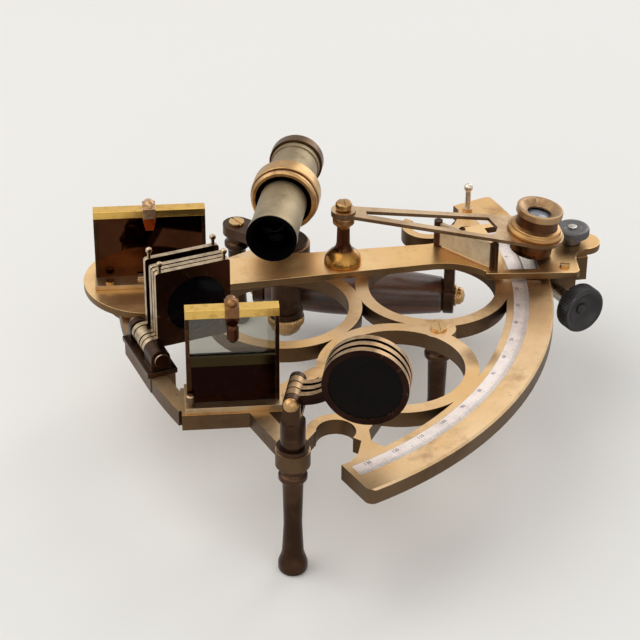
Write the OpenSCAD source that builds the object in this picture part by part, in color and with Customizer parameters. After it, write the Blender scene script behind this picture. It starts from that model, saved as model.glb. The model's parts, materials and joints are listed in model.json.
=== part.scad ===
// A marine sextant lying face up on its three legs.
// The index arm turns about the Z axis. The limb lies toward -Y and the
// telescope side toward +X. Heights in the modules are measured from the
// frame's upper face, and on_face() lifts them off the table.

/* [Frame] */
// Thickness of the cast frame
frame_t = 7; // [6:0.5:9]
// Height of the legs under the frame
leg_h = 52; // [50:1:60]
// Outer radius of the limb
limb_r = 175.3; // [168:0.1:185]
// Radial width of the limb
limb_w = 20.3; // [18.5:0.1:24]
// Half of the angle that the limb spans, in degrees
limb_half = 43.5; // [41:0.5:47]
// Radius of the limb's outer corners
limb_corner = 3.5; // [2:0.5:5]
// Inner radius of the three frame rings
ring_ir = 28; // [25:0.5:29]
// Radial width of each ring
ring_w = 5.5; // [4.5:0.5:6.5]
// Radius of the pivot boss
pivot_boss_r = 20; // [17:0.5:24]
// Depth of the boss below the frame
boss_drop = 7; // [5:0.5:9]
// Width of the struts
strut_w = 7; // [6:0.5:9]
// Outer radius of the hooks beside the limb
hook_r = 12; // [10:0.5:13]
// Width of the hooks
hook_w = 4; // [3:0.5:5]

/* [Graduated strip] */
// Distance of the strip from the limb's inner edge
scale_in = 3; // [2:0.1:4]
// Width of the strip
scale_w = 6.7; // [5:0.1:8]
// Thickness of the strip
scale_t = 1.2; // [0.8:0.1:2]
// Angle at which the strip ends on the stud's side, in degrees
scale_stop = 37.5; // [36:0.5:38]

/* [Pivot] */
// Outer radius of the bearing bush
bush_r = 9; // [8:0.5:11]
// Radius of the pivot centre
centre_r = 4.95; // [4:0.05:6]
// Running clearance on a radius
fit = 0.05; // [0.03:0.01:0.08]
// Gap between pieces that slide past each other
gap = 0.3; // [0.25:0.05:0.4]

/* [Index arm] */
// Angle of the arm from the limb's middle, in degrees
arm_turn = 24.8; // [20:0.1:26]
// Height of the arm above the frame
arm_lift = 1.7; // [1.4:0.1:2.2]
// Thickness of the arm
arm_t = 3.2; // [2.4:0.1:4]
// Radius of the mirror table at the pivot
table_r = 29.5; // [27:0.5:32]
// Half width of the arm at the table
arm_wide = 11.3; // [10:0.1:13]
// Half width of the arm beside the limb
arm_narrow = 8.8; // [8:0.1:10]
// Half angle of the reading plate, in degrees
plate_half = 8.2; // [7.8:0.1:9]
// Half angle of the window, in degrees
window_half = 6.9; // [6:0.1:7]
// Radius of the flare between bar and plate
flare_r = 27.8; // [26:0.1:30]
// Radius of the tongue at the arm's end
tongue_r = 7.5; // [7:0.1:9]

/* [Index mirror] */
// Half length of the index mirror's glass
index_half = 22.4; // [20:0.1:23]
// Height of the index mirror's glass
index_h = 29; // [26:0.5:34]
// Thickness of the mirrors
mirror_t = 2; // [1.6:0.1:3]
// Turn of both mirrors from the Y axis, in degrees
mirror_turn = 20; // [18:0.1:22]
// Thickness of the mirror bases
base_t = 2.1; // [1.6:0.1:2.6]

/* [Horizon mirror] */
// Distance of the horizon mirror toward -X
horizon_x = 77; // [75:0.5:80]
// Distance of the horizon mirror toward -Y
horizon_y = 60; // [58:0.5:62]
// Half length of the horizon mirror's glass
horizon_half = 17; // [15:0.1:18]
// Height of the horizon mirror's glass
horizon_h = 39.4; // [36:0.1:42]

/* [Shades] */
// Radius of the index shades' glass
index_glass_r = 12.8; // [11:0.1:13.5]
// Thickness of an index shade's frame
index_shade_t = 2.3; // [2:0.1:2.5]
// Radius of the horizon shades' glass
horizon_glass_r = 14.5; // [12:0.1:15]
// Radial width of a horizon shade's ring
shade_rim = 2.5; // [2:0.1:3]
// Thickness of a horizon shade's frame
horizon_shade_t = 2.6; // [2:0.1:3]
// Radius of the shade pins
pin_r = 1.75; // [1.4:0.05:2]
// Thickness of the shade glasses
shade_glass_t = 1.4; // [1:0.1:1.8]

/* [Telescope] */
// Height of the telescope's axis above the frame
scope_z = 24.5; // [23:0.5:28]
// Direction of the telescope's axis, in degrees
scope_turn = 6.5; // [5:0.1:8]
// Outer radius of the telescope tube
scope_r = 10.6; // [9.5:0.1:11.5]
// Wall of the telescope tube
scope_wall = 1.2; // [1:0.1:1.8]
// Length of the tube in front of the collar's middle
scope_front = 40.2; // [36:0.5:42]
// Length of the telescope behind the collar's middle
scope_back = 35; // [33:0.5:42]
// Outer radius of the collar
collar_r = 15.5; // [14.5:0.5:17]
// Radius of the stem
stem_r = 4.2; // [3.5:0.1:5]
// Distance of the stem toward +X
stem_x = 53.4; // [52:0.2:56]
// Distance of the stem toward -Y
stem_y = 46; // [44:0.2:48]

/* [Magnifier] */
// Distance of the magnifier's post from the pivot
post_at = 85; // [82:0.5:88]
// Height of the magnifier's hinge above the frame
post_h = 28.1; // [27.5:0.1:30]
// Slope of the fork, in degrees
fork_slope = 9.3; // [8.5:0.1:9.5]
// Turn of the fork toward -X, in degrees
fork_turn = 5.4; // [4:0.1:7]
// Thickness of the fork
fork_t = 1.6; // [1.2:0.1:2.2]
// Radius of the magnifier's barrel
barrel_r = 8.9; // [8:0.1:9.5]
// Height of the magnifier's eyecup above the fork
eyecup_h = 13; // [11:0.1:14]
// Height of the frosted screen
screen_h = 12.7; // [11:0.1:13]

/* [Clamp and tangent screw] */
// Radius of the clamp screw's head
clamp_head_r = 7.7; // [6.5:0.1:8]
// Radius of the clamp screw's shaft
clamp_shaft_r = 2; // [1.6:0.1:2.4]
// Radius of the tangent screw's knob
knob_r = 10.75; // [9:0.05:11]
// Length of the tangent screw's knob
knob_l = 10.6; // [8:0.1:12]
// Radius of the tangent screw's shaft
tangent_r = 1.75; // [1.4:0.05:2.2]

/* [Handle and legs] */
// Greatest radius of the handle
handle_r = 12; // [10:0.5:12.5]
// Radius of the handle at its ends
handle_end_r = 8.5; // [7.5:0.5:9.5]
// Length of the handle
handle_l = 84; // [78:1:88]
// Depth of the handle's axis below the frame's upper face
handle_drop = 36; // [34:0.5:38]
// Thickness of the handle brackets
bracket_t = 5; // [4:0.5:6]
// Width of the handle brackets
bracket_w = 13; // [12:0.5:15]
// Radius of the rod through the handle
rod_r = 2.5; // [2:0.1:3]
// Radius of a leg at its waist
leg_r = 4.25; // [3.5:0.05:5]
// Radius of a leg's foot
foot_r = 6; // [5:0.5:7]
// Radius of the small screws
screw_r = 1.75; // [1.2:0.05:2]

/* [Hidden] */
$fn = 72;

brass = [0.73, 0.55, 0.30];
pale_brass = [0.72, 0.69, 0.50];
bronze = [0.36, 0.25, 0.17];
steel = [0.60, 0.60, 0.58];
black = [0.10, 0.10, 0.10];
silver = [0.85, 0.85, 0.82];
wood = [0.28, 0.16, 0.10];
clear_glass = [0.62, 0.72, 0.72];
frosted = [0.90, 0.88, 0.78];
tongue_brown = [0.62, 0.33, 0.14];

round_fn = 360;
over = 1;
face_z = leg_h + frame_t;

limb_in = limb_r - limb_w;
strip_in = limb_in + scale_in;
strip_out = strip_in + scale_w;
strip_start = limb_half - 1;
strip_fit = 0.02;
ring_sink = 1.2;
ring_weld = 0.25;
ring_pitch = ring_ir + ring_w;
ring_or = ring_pitch + ring_weld;
ring_reach = limb_in + ring_sink - ring_pitch;
ring_y = sqrt(pow(ring_reach, 2) - pow(ring_pitch, 2));
top_ring_y = ring_y - ring_pitch * sqrt(3);
centre_boss_r = 7.4;
centre_boss_y = ring_y + 10.2;

arm_top = arm_lift + arm_t;
arm_boss_r = 10;
plate_in = limb_in - 8;
plate_out = limb_r + 12.7;
plate_corner = 3;
vernier_in = strip_out + 0.2;
vernier_w = 6.1;
vernier_top = arm_lift + 1.8;
window_in = limb_in;
window_out = vernier_in + 5.1;
tongue_at = limb_r + 19.7;
clamp_at = limb_r + 14.2;
scoop_r = 7;
scoop_x = tongue_r + scoop_r - 0.2;
flare_x = arm_narrow + flare_r;
flare_at = limb_in - 31;

mirror_post_t = 1.6;
index_base_half = index_half + 2.1;
index_top = arm_top + base_t + index_h;
index_rail_h = 3.5;
rail_half = 2.6;
clip_t = 1.2;
clip_half = 2.8;
horizon_base_t = base_t + 0.5;
horizon_at = [-horizon_x, -horizon_y];
horizon_top = horizon_base_t + horizon_h;
horizon_rail_h = 4;
horizon_base_x = [-6.6, 11.5];
horizon_screw_spots = [[8, -13], [8, 13]];
capstan_at = [-4.4, horizon_half + 0.4];
capstan_r = 1;
back_plate_h = 24;

index_shade_turn = 218;
index_shade_x = 42;
index_shade_pitch = index_shade_t + 0.7;
index_shade_xs = [for (n = [0:3]) index_shade_x + n * index_shade_pitch + (n > 0 ? 3.6 : 0)];
index_far_x = index_shade_xs[3] + index_shade_t + gap;
index_near_x = index_shade_x - 1.5;
index_cheek_xs = [[index_near_x - 3.5, index_near_x], [index_far_x, index_far_x + 8.8]];
index_corner = 1.2;
shade_pin_r = 0.7;
shade_ball_r = 1.35;
shade_pin_h = 3.4;
index_pin_y = -19.5;
index_pin_z = 6.9;
index_ear_r = 4.2;
index_plate_y = [-17.4, 15];
index_plate_z = [6.6, 42];
index_glass_z = 24;
bracket_floor = 2.3;

horizon_shade_xs = [-28.9, -24.6, -20.3];
horizon_pin_y = -28.6;
horizon_pin_z = 24.2;
horizon_arm_l = 29.2;
horizon_rest = 15.8;
horizon_hub_r = 3.4;
horizon_hub_t = 3.7;
post_x = -28;
shade_r = horizon_glass_r + shade_rim;

stem_at = [stem_x, -stem_y];
socket_r = stem_r + fit + 2.75;
socket_l = 38;
nut_h = 7.7;
stem_top = scope_z - collar_r - 2;
stem_low = 48;
collar_half = 5;
lug_r = socket_r + 4;

handle_top_at = [72, -27];
handle_low_at = [86, -117];
handle_dir = (handle_low_at - handle_top_at) / norm(handle_low_at - handle_top_at);
handle_turn = atan2(handle_dir.y, handle_dir.x);
handle_mid = (handle_top_at + handle_low_at) / 2;
far_leg_at = [76, -16];
leg_thread = 8;
leg_screw_r = 3.6;
stud_at = polar(limb_in + 3.2, limb_half - 2.7);
stud_h = 12.4;
stud_ball_r = 2.1;

fork_l = (strip_out + 4.8 - post_at) / (cos(fork_turn) * cos(fork_slope));
fork_solid = fork_l - 15.8;
eye_plate_r = 13.2;
fork_end_half = 11.3;
lens_bore_r = barrel_r - 1.6;
barrel_drop = 9;
cup_h = 3.4;
hub_t = 2.8;
hub_r = 5.5;
hinge_pin_r = 1.85;
hub_z = post_h + gap + hub_t / 2;
screen_post_r = 1.9;
screen_t = 1.6;
screen_near = [-17.6, -plate_in - 2];
screen_far = [7.2, -plate_in + 17.5];

tangent_tilt = 21.8;
tangent_z = -10.8;
tangent_at = limb_r - 1.8;
tangent_reach = 36.7;

function polar(r, a) = [r * sin(a), -r * cos(a)];
function turned(p, a) = [p.x * cos(a) - p.y * sin(a), p.x * sin(a) + p.y * cos(a)];
function on_horizon(p) = horizon_at + turned(p, mirror_turn);
function on_shades(p) = horizon_at + turned(p, scope_turn);
function corner_angle(r) = asin(r / (limb_r - r));

shade_post_at = on_shades([post_x, horizon_pin_y]);
leg_spots = [[0, -centre_boss_y], shade_post_at];

// Lifts what is drawn from the frame's face to its height above the table
module on_face() translate([0, 0, face_z]) children();

// The arm's own frame, with the arm along -Y
module on_arm() on_face() rotate([0, 0, arm_turn]) children();

// A flat bar with round ends
module bar(p, q, w) {
    way = q - p;
    translate(p) rotate(atan2(way.y, way.x)) {
        translate([0, -w / 2]) square([norm(way), w]);
        circle(w / 2);
        translate([norm(way), 0]) circle(w / 2);
    }
}

// A ring sector, its angles counted from -Y toward +X
module sector(r0, r1, a0, a1) {
    far = r1 * 2;
    intersection() {
        difference() {
            circle(r1, $fn = round_fn);
            circle(r0, $fn = round_fn);
        }
        polygon([[0, 0], polar(far, a0), polar(far, (a0 + a1) / 2), polar(far, a1)]);
    }
}

// A flat arc between two points that bulges by sag to its right
module arc_bar(p, q, sag, w) {
    way = q - p;
    chord = norm(way);
    r = (chord * chord / 4 + sag * sag) / (2 * sag);
    left = [-way.y, way.x] / chord;
    centre = (p + q) / 2 + left * (r - sag);
    intersection() {
        translate(centre) difference() {
            circle(r + w / 2, $fn = round_fn);
            circle(r - w / 2, $fn = round_fn);
        }
        polygon([centre, centre + (p - centre) * 1.4, centre + (q - centre) * 1.4]);
    }
}

module slab(z0, z1) translate([0, 0, z0]) linear_extrude(z1 - z0) children();

module rod(r, z0, z1) translate([0, 0, z0]) cylinder(r = r, h = z1 - z0);

// A box given by its corners
module block(x, y, z) translate([x[0], y[0], z[0]]) cube([x[1] - x[0], y[1] - y[0], z[1] - z[0]]);

// Points the Z axis of its children along +X
module along_x() rotate([0, 90, 0]) children();

module limb_2d() {
    cut = corner_angle(limb_corner);
    sector(limb_in, limb_r, -(limb_half - cut), limb_half - cut);
    sector(limb_in, limb_r - limb_corner, -limb_half, limb_half);
    for (side = [-1, 1])
        translate(polar(limb_r - limb_corner, side * (limb_half - cut))) circle(limb_corner);
}

// The hook and web between a limb end and the ring beside it, on the -X side
module hook_2d() {
    hook_at = polar(limb_in - 19.9, -(limb_half - 4.4));
    open_half = 71;
    reach = hook_r * 0.5;
    translate(hook_at) difference() {
        circle(hook_r);
        circle(hook_r - hook_w);
        polygon([[0, 0], [-reach, reach * tan(open_half)], [-2 * hook_r, 2 * hook_r],
            [-2 * hook_r, -2 * hook_r], [-reach, -reach * tan(open_half)]]);
    }
    polygon([polar(limb_in + 2, -limb_half + 0.3), hook_at + [-12.4, -12.1], hook_at + [-4.1, -11.3],
        hook_at + [3.2, -8.7], [-(2 * ring_pitch - 2), -ring_y + 5],
        [-(2 * ring_pitch - 2), -ring_y - 1.5], hook_at + [4.2, -12.4], hook_at + [-3, -15.1],
        polar(limb_in + 2, -35.6)]);
}

module platform_2d() {
    translate(horizon_at) rotate(mirror_turn)
        translate([horizon_base_x[0] - 1, -horizon_half - 4])
            square([horizon_base_x[1] - horizon_base_x[0] + 2, 2 * horizon_half + 8]);
}

module frame_2d() {
    rings = [[-ring_pitch, -ring_y], [ring_pitch, -ring_y], [0, -top_ring_y]];
    difference() {
        union() {
            limb_2d();
            for (spot = rings) translate(spot) circle(ring_or, $fn = round_fn);
            bar([0, 0], [0, -top_ring_y + ring_ir + 2], 2 * strut_w);
            bar([12, -12], stem_at, strut_w);
            bar([ring_ir, -top_ring_y], stem_at, strut_w);
            bar([-ring_pitch, -ring_y] + ring_pitch * [cos(111), sin(111)], on_horizon([2.5, -13.7]), strut_w);
            hook_2d();
            mirror([1, 0]) hook_2d();
        }
        for (spot = rings) translate(spot) circle(ring_ir, $fn = round_fn);
    }
    circle(pivot_boss_r);
    translate([0, -centre_boss_y]) circle(centre_boss_r);
    translate(stem_at) circle(lug_r);
    arc_bar([-12, 8], [-86, -43], 4.5, strut_w);
    rotate(index_shade_turn) translate([index_cheek_xs[0][0] - 1, index_pin_y - 5.5])
        square([index_cheek_xs[1][1] - index_cheek_xs[0][0] + 3, 11]);
    platform_2d();
    translate(shade_post_at) circle(7);
    bar(shade_post_at, on_horizon([-3, -8]), strut_w);
    bar(shade_post_at, polar(limb_in - 19.9, -(limb_half - 4.4)) + [-3.3, hook_r - hook_w / 2], hook_w);
}

module frame() color(brass) on_face() difference() {
    union() {
        slab(-frame_t, 0) frame_2d();
        rod(bush_r + 3, -frame_t - boss_drop, -frame_t + over);
    }
    slab(-scale_t, over) sector(strip_in, strip_out, -strip_start, scale_stop);
    rotate_extrude($fn = round_fn)
        polygon([[limb_r - 0.8, 0.01], [limb_r + over, 0.01], [limb_r + over, -0.8], [limb_r, -0.8]]);
    rod(bush_r + fit, -frame_t - boss_drop - over, over);
    translate(stem_at) rod(socket_r + fit, -frame_t - over, over);
    for (spot = concat(leg_spots, [stud_at])) translate(spot) rod(screw_r + fit, -frame_t - over, over);
    for (spot = horizon_screw_spots) translate(on_horizon(spot)) rod(screw_r + fit, -frame_t - over, over);
    translate(on_horizon(capstan_at)) rod(capstan_r + fit, -frame_t - over, over);
}

module scale_strip() color(silver) on_face()
    slab(-scale_t, 0) sector(strip_in + fit, strip_out - fit, -strip_start + strip_fit, scale_stop - strip_fit);

module pivot_bearing() color(pale_brass) on_face() difference() {
    union() {
        rod(bush_r, -frame_t - boss_drop, 0);
        rod(bush_r + 2.5, -frame_t - boss_drop - 2, -frame_t - boss_drop);
    }
    rod(centre_r + fit, -frame_t - boss_drop - 2 - over, over);
}

// A turned leg from the table up to a height below the frame's face
module leg(top) {
    h = face_z + top;
    difference() {
        rotate_extrude() polygon([[0, 0], [foot_r - 0.6, 0], [foot_r, 1.2], [foot_r, 4], [leg_r + 0.2, 9],
            [leg_r - 0.5, h * 0.45], [leg_r, h - 8], [leg_r + 1.6, h - 6.5], [leg_r + 1.6, h - 4.5],
            [leg_r + 0.4, h - 3.5], [leg_r + 0.4, h], [0, h]]);
        translate([0, 0, h - leg_thread - 1]) cylinder(r = screw_r + fit, h = leg_thread + 1 + over);
    }
}

module legs() color(bronze) {
    for (spot = leg_spots) translate(spot) leg(-frame_t);
    translate(far_leg_at) leg(-frame_t - bracket_t);
}

// A slotted cheese head screw that stands on a face at z = 0
module slotted_screw(r, h, depth) {
    difference() {
        cylinder(r = r, h = h);
        translate([-r - over, -0.4, h * 0.5]) cube([2 * (r + over), 0.8, h]);
    }
    translate([0, 0, -depth]) cylinder(r = screw_r, h = depth + 0.1);
}

module frame_screws() color(brass) on_face() {
    translate(leg_spots[0]) rotate([0, 0, 20]) slotted_screw(leg_screw_r, 1.3, frame_t + leg_thread);
    translate(far_leg_at) translate([0, 0, -frame_t]) rotate([0, 0, 50]) slotted_screw(leg_screw_r, 1.3, bracket_t + leg_thread);
    translate(stud_at) {
        rod(screw_r, -frame_t - bracket_t, 0.1);
        rod(2.4, 0, 2);
        rod(1.3, 1.9, stud_h);
        translate([0, 0, stud_h]) sphere(r = stud_ball_r);
    }
}

// The handle's own frame: +Z along the handle, +X down, from the upper end
module along_handle()
    on_face() translate([handle_mid.x, handle_mid.y, -handle_drop]) rotate([0, 0, handle_turn]) rotate([0, 90, 0])
        translate([0, 0, -handle_l / 2]) children();

function grip_radius(t) = handle_end_r + (handle_r - handle_end_r) * sin(180 * pow(t, 0.85));

module handle() color(wood) along_handle() {
    steps = 18;
    bead = 1.2;
    rotate_extrude() polygon(concat([[rod_r + fit, 0], [handle_end_r - bead, 0]],
        [for (i = [0:steps]) [grip_radius(i / steps), bead + (handle_l - 2 * bead) * i / steps]],
        [[handle_end_r - bead, handle_l], [rod_r + fit, handle_l]]));
}

// The plate that drops from the frame to the rod, with its eye
module drop_plate(z0) {
    drop_w = bracket_w - 2;
    difference() {
        slab(z0, z0 + bracket_t) {
            circle(handle_end_r);
            translate([-(handle_drop - frame_t - over), -drop_w / 2]) square([handle_drop - frame_t - over, drop_w]);
        }
        rod(rod_r + fit, z0 - over, z0 + bracket_t + over);
    }
}

module handle_bracket_top() color(bronze) {
    plate_at = handle_mid - handle_dir * (handle_l / 2 + bracket_t / 2);
    along_handle() drop_plate(-bracket_t);
    on_face() difference() {
        slab(-frame_t - bracket_t, -frame_t) {
            translate(stem_at) circle(lug_r);
            bar(stem_at, plate_at, bracket_w);
            bar(plate_at, far_leg_at, bracket_w);
        }
        translate(stem_at) rod(socket_r + fit, -frame_t - bracket_t - over, -frame_t + over);
        translate(far_leg_at) rod(screw_r + fit, -frame_t - bracket_t - over, -frame_t + over);
    }
}

module handle_bracket_bottom() color(bronze) {
    plate_at = handle_mid + handle_dir * (handle_l / 2 + bracket_t / 2);
    along_handle() drop_plate(handle_l);
    on_face() difference() {
        slab(-frame_t - bracket_t, -frame_t) bar(plate_at + (plate_at - stud_at) * 0.45, stud_at, bracket_w);
        translate(stud_at) rod(screw_r + fit, -frame_t - bracket_t - over, -frame_t + over);
    }
}

module handle_rod() color(brass) along_handle() {
    nut_l = 4.5;
    rod(rod_r, -bracket_t - 0.5, handle_l + bracket_t + 0.5);
    for (end = [0, 1]) translate([0, 0, end * handle_l]) rotate([180 * (1 - end), 0, 0])
        rotate_extrude() polygon([[0, bracket_t], [5, bracket_t], [5, bracket_t + 1], [4.2, bracket_t + 1.2],
            [4, bracket_t + 3], [2.6, bracket_t + nut_l], [0, bracket_t + nut_l + 0.6]]);
}

module stem_socket() color(brass) on_face() translate(stem_at) difference() {
    union() {
        rod(socket_r, -socket_l, 0);
        rod(socket_r + 3, 0, 1.5);
        rod(socket_r + 1, -socket_l, -socket_l + 3);
    }
    rod(stem_r + fit, -socket_l - over, 1.5 + over);
}

module on_horizon_mirror() on_face() translate(horizon_at) rotate([0, 0, mirror_turn]) children();

module horizon_mirror_base() color(brass) on_horizon_mirror() difference() {
    block(horizon_base_x, [-horizon_half - 2.4, horizon_half + 2.4], [0, horizon_base_t]);
    for (spot = horizon_screw_spots) translate(spot) rod(screw_r + fit, -over, horizon_base_t + over);
    translate(capstan_at) rod(capstan_r + fit, -over, horizon_base_t + over);
}

module horizon_mirror_frame() color(brass) on_horizon_mirror() {
    half = mirror_t / 2;
    for (side = [-1, 1]) scale([1, side, 1])
        block([-2.2, 2.2], [horizon_half, horizon_half + mirror_post_t], [horizon_base_t, horizon_top]);
    block([-rail_half, rail_half], [-horizon_half - mirror_post_t, horizon_half + mirror_post_t],
        [horizon_top, horizon_top + horizon_rail_h]);
    block([-half - 1.2, -half], [-horizon_half, horizon_half], [horizon_base_t, back_plate_h]);
}

module horizon_mirror_glass() color(clear_glass) on_horizon_mirror()
    block([-mirror_t / 2, mirror_t / 2], [-horizon_half, horizon_half], [horizon_base_t, horizon_top]);

// A spring clip over a mirror's top rail, with a tongue in front and a thumb screw behind
module mirror_clip(z, tongue) {
    t = clip_t;
    half = clip_half;
    block([-rail_half - t, rail_half + t], [-half, half], [z, z + t]);
    block([rail_half, rail_half + t], [-half, half], [z - 5, z + 0.1]);
    translate([-rail_half, 0, z]) rotate([90, 0, -90]) linear_extrude(t) polygon([[-half, 0.1], [half, 0.1],
        [half, -4], [half * 0.6, -tongue], [-half * 0.6, -tongue], [-half, -4]]);
    translate([rail_half + t - 0.1, 0, z - 2.5]) along_x() cylinder(r = 1.2, h = 2.6);
    translate([rail_half + t + 2.4, 0, z - 2.5]) along_x() cylinder(r = 2.3, h = 2.6);
    translate([0, 0, z + t - 0.1]) intersection() {
        sphere(r = half - 0.4);
        rod(half, 0, half);
    }
}

module horizon_mirror_clip() color(tongue_brown) on_horizon_mirror() {
    top = horizon_top + horizon_rail_h;
    mirror_clip(top, 7);
    translate([-rail_half - clip_t - 1.5, 0, top]) rotate_extrude()
        polygon([[0, -13], [1.4, -13], [2.4, -11.5], [2.4, -6.5], [1.6, -5.5], [0, -5.5]]);
}

module horizon_adjusting_screws() color(steel) on_horizon_mirror() {
    for (spot = horizon_screw_spots) translate([spot.x, spot.y, horizon_base_t]) {
        cylinder(r = 3, h = 2.4, $fn = 6);
        rod(screw_r, -horizon_base_t - frame_t, 0.1);
    }
    translate([capstan_at.x, capstan_at.y, horizon_base_t]) {
        rod(capstan_r, -horizon_base_t - frame_t, 2.1);
        rotate_extrude() polygon([[0, 2], [1.7, 2], [1.7, 4.6], [1.2, 5.2], [0, 5.2]]);
    }
}

module on_index_shades() on_face() rotate([0, 0, index_shade_turn]) children();

module index_shade_bracket() color(bronze) on_index_shades() difference() {
    cheek_y = [index_pin_y - index_ear_r, index_pin_y + index_ear_r];
    union() {
        block([index_cheek_xs[0][0] - 1, index_cheek_xs[1][1] + 2], [index_pin_y - 6.5, index_pin_y + 6.5], [0, bracket_floor]);
        for (x = index_cheek_xs) {
            block(x, cheek_y, [bracket_floor - 0.1, index_pin_z]);
            translate([x[0], index_pin_y, index_pin_z]) along_x() cylinder(r = index_ear_r, h = x[1] - x[0]);
        }
    }
    translate([0, index_pin_y, index_pin_z]) along_x() rod(pin_r + fit, index_cheek_xs[0][0] - over, index_cheek_xs[1][1] + over);
}

module index_shade_pin() color(brass) on_index_shades() translate([0, index_pin_y, index_pin_z]) along_x() {
    near = index_cheek_xs[0][0];
    far = index_cheek_xs[1][1];
    rod(pin_r, near - 0.5, far + 0.5);
    rod(3, near - 2, near - 0.4);
    rod(3, far + 0.4, far + 1.6);
    difference() {
        rod(index_ear_r - 0.2, index_shade_xs[0] + index_shade_t + gap, index_shade_xs[1] - gap);
        rod(pin_r + fit, near, far);
    }
}

module index_shade_outline() {
    round = index_corner;
    y = index_plate_y;
    z = index_plate_z;
    translate([y[0], z[0]]) square([y[1] - y[0], z[1] - z[0] - round]);
    translate([y[0] + round, z[0]]) square([y[1] - y[0] - 2 * round, z[1] - z[0]]);
    for (side = [y[0] + round, y[1] - round]) translate([side, z[1] - round]) circle(round);
    translate([index_pin_y, index_pin_z]) circle(index_ear_r);
    translate([index_pin_y, index_pin_z]) square([5, index_ear_r]);
}

module index_shade_plate(n) color(bronze) on_index_shades()
    translate([index_shade_xs[n], 0, 0]) rotate([90, 0, 90]) difference() {
        linear_extrude(index_shade_t) difference() {
            index_shade_outline();
            translate([0, index_glass_z]) circle(index_glass_r);
        }
        translate([index_pin_y, index_pin_z]) rod(pin_r + fit, -over, index_shade_t + over);
    }

// Two ball-ended pins on a plate's upper corners, by which it is turned
module index_shade_balls(n) color(brass) on_index_shades()
    for (y = [index_plate_y[0] + 2.2, index_plate_y[1] - 2.2])
        translate([index_shade_xs[n] + index_shade_t / 2, y, index_plate_z[1]]) {
            rod(shade_pin_r, -0.5, shade_pin_h);
            translate([0, 0, shade_pin_h]) sphere(r = shade_ball_r, $fn = 36);
        }

module shade_glass(r, t, x, y, z) translate([x, y, z]) along_x() cylinder(r = r - fit, h = t);

module index_shade_glass(n) color(clear_glass) on_index_shades()
    shade_glass(index_glass_r, shade_glass_t,
        index_shade_xs[n] + (index_shade_t - shade_glass_t) / 2, 0, index_glass_z);

module index_shade_1() {
    index_shade_plate(0);
    index_shade_balls(0);
}

module index_shade_2() index_shade_plate(1);
module index_shade_3() index_shade_plate(2);
module index_shade_4() {
    index_shade_plate(3);
    index_shade_balls(3);
}

module index_shade_glass_1() index_shade_glass(0);
module index_shade_glass_2() index_shade_glass(1);
module index_shade_glass_3() index_shade_glass(2);
module index_shade_glass_4() index_shade_glass(3);

module on_horizon_shades() on_face() translate(horizon_at) rotate([0, 0, scope_turn]) children();

module horizon_shade_bracket() color(bronze) on_horizon_shades() difference() {
    half = horizon_hub_r;
    far_x = horizon_shade_xs[2] + horizon_shade_t / 2 + horizon_hub_t / 2 + gap;
    near_x = horizon_shade_xs[0] + horizon_shade_t / 2 - horizon_hub_t / 2 - gap;
    yoke_z = 14;
    union() {
        translate([post_x, horizon_pin_y, 0]) {
            rod(5, 0, yoke_z);
            rod(6.5, 0, 2);
            rod(screw_r, -frame_t - leg_thread, 0.1);
        }
        block([near_x - 3, far_x + 2.5], [horizon_pin_y - half, horizon_pin_y + half], [yoke_z - 0.1, yoke_z + 3]);
        for (x = [[near_x - 3, near_x], [far_x, far_x + 2.5]]) {
            block(x, [horizon_pin_y - half, horizon_pin_y + half], [yoke_z, horizon_pin_z]);
            translate([x[0], horizon_pin_y, horizon_pin_z]) along_x() cylinder(r = half, h = x[1] - x[0]);
        }
    }
    translate([-40, horizon_pin_y, horizon_pin_z]) along_x() cylinder(r = pin_r + fit, h = 30);
}

module horizon_shade_pin() color(brass) on_horizon_shades() translate([0, horizon_pin_y, horizon_pin_z]) along_x() {
    near_x = horizon_shade_xs[0] + horizon_shade_t / 2 - horizon_hub_t / 2 - gap - 3;
    rod(pin_r, near_x - 0.5, horizon_shade_xs[2] + horizon_shade_t / 2 + horizon_hub_t / 2 + gap + 2.5);
    translate([0, 0, near_x]) intersection() {
        sphere(r = 3.2);
        rod(4, -4, 0);
    }
}

// A horizon shade drawn flat: x toward its glass from the pin, y upward
module horizon_shade_plate(n) color(bronze) on_horizon_shades() {
    translate([horizon_shade_xs[n], horizon_pin_y, horizon_pin_z]) rotate([-horizon_rest, 0, 0])
        rotate([90, 0, -90]) translate([0, 0, -horizon_shade_t]) difference() {
            union() {
                linear_extrude(horizon_shade_t) difference() {
                    union() {
                        translate([horizon_arm_l, 0]) circle(shade_r);
                        arc_bar([0, 0], [horizon_arm_l - horizon_glass_r, 0], 1.6, 4.4);
                    }
                    translate([horizon_arm_l, 0]) circle(horizon_glass_r);
                }
                rod(horizon_hub_r, (horizon_shade_t - horizon_hub_t) / 2, (horizon_shade_t + horizon_hub_t) / 2);
            }
            rod(pin_r + fit, -over, horizon_shade_t + over);
        }
}

module horizon_shade_glass(n) color(clear_glass) on_horizon_shades()
    translate([0, horizon_pin_y, horizon_pin_z]) rotate([-horizon_rest, 0, 0])
        shade_glass(horizon_glass_r, shade_glass_t,
            horizon_shade_xs[n] + (horizon_shade_t - shade_glass_t) / 2, -horizon_arm_l, 0);

module horizon_shade_1() horizon_shade_plate(0);
module horizon_shade_2() horizon_shade_plate(1);
module horizon_shade_3() horizon_shade_plate(2);
module horizon_shade_glass_1() horizon_shade_glass(0);
module horizon_shade_glass_2() horizon_shade_glass(1);
module horizon_shade_glass_3() horizon_shade_glass(2);

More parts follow.
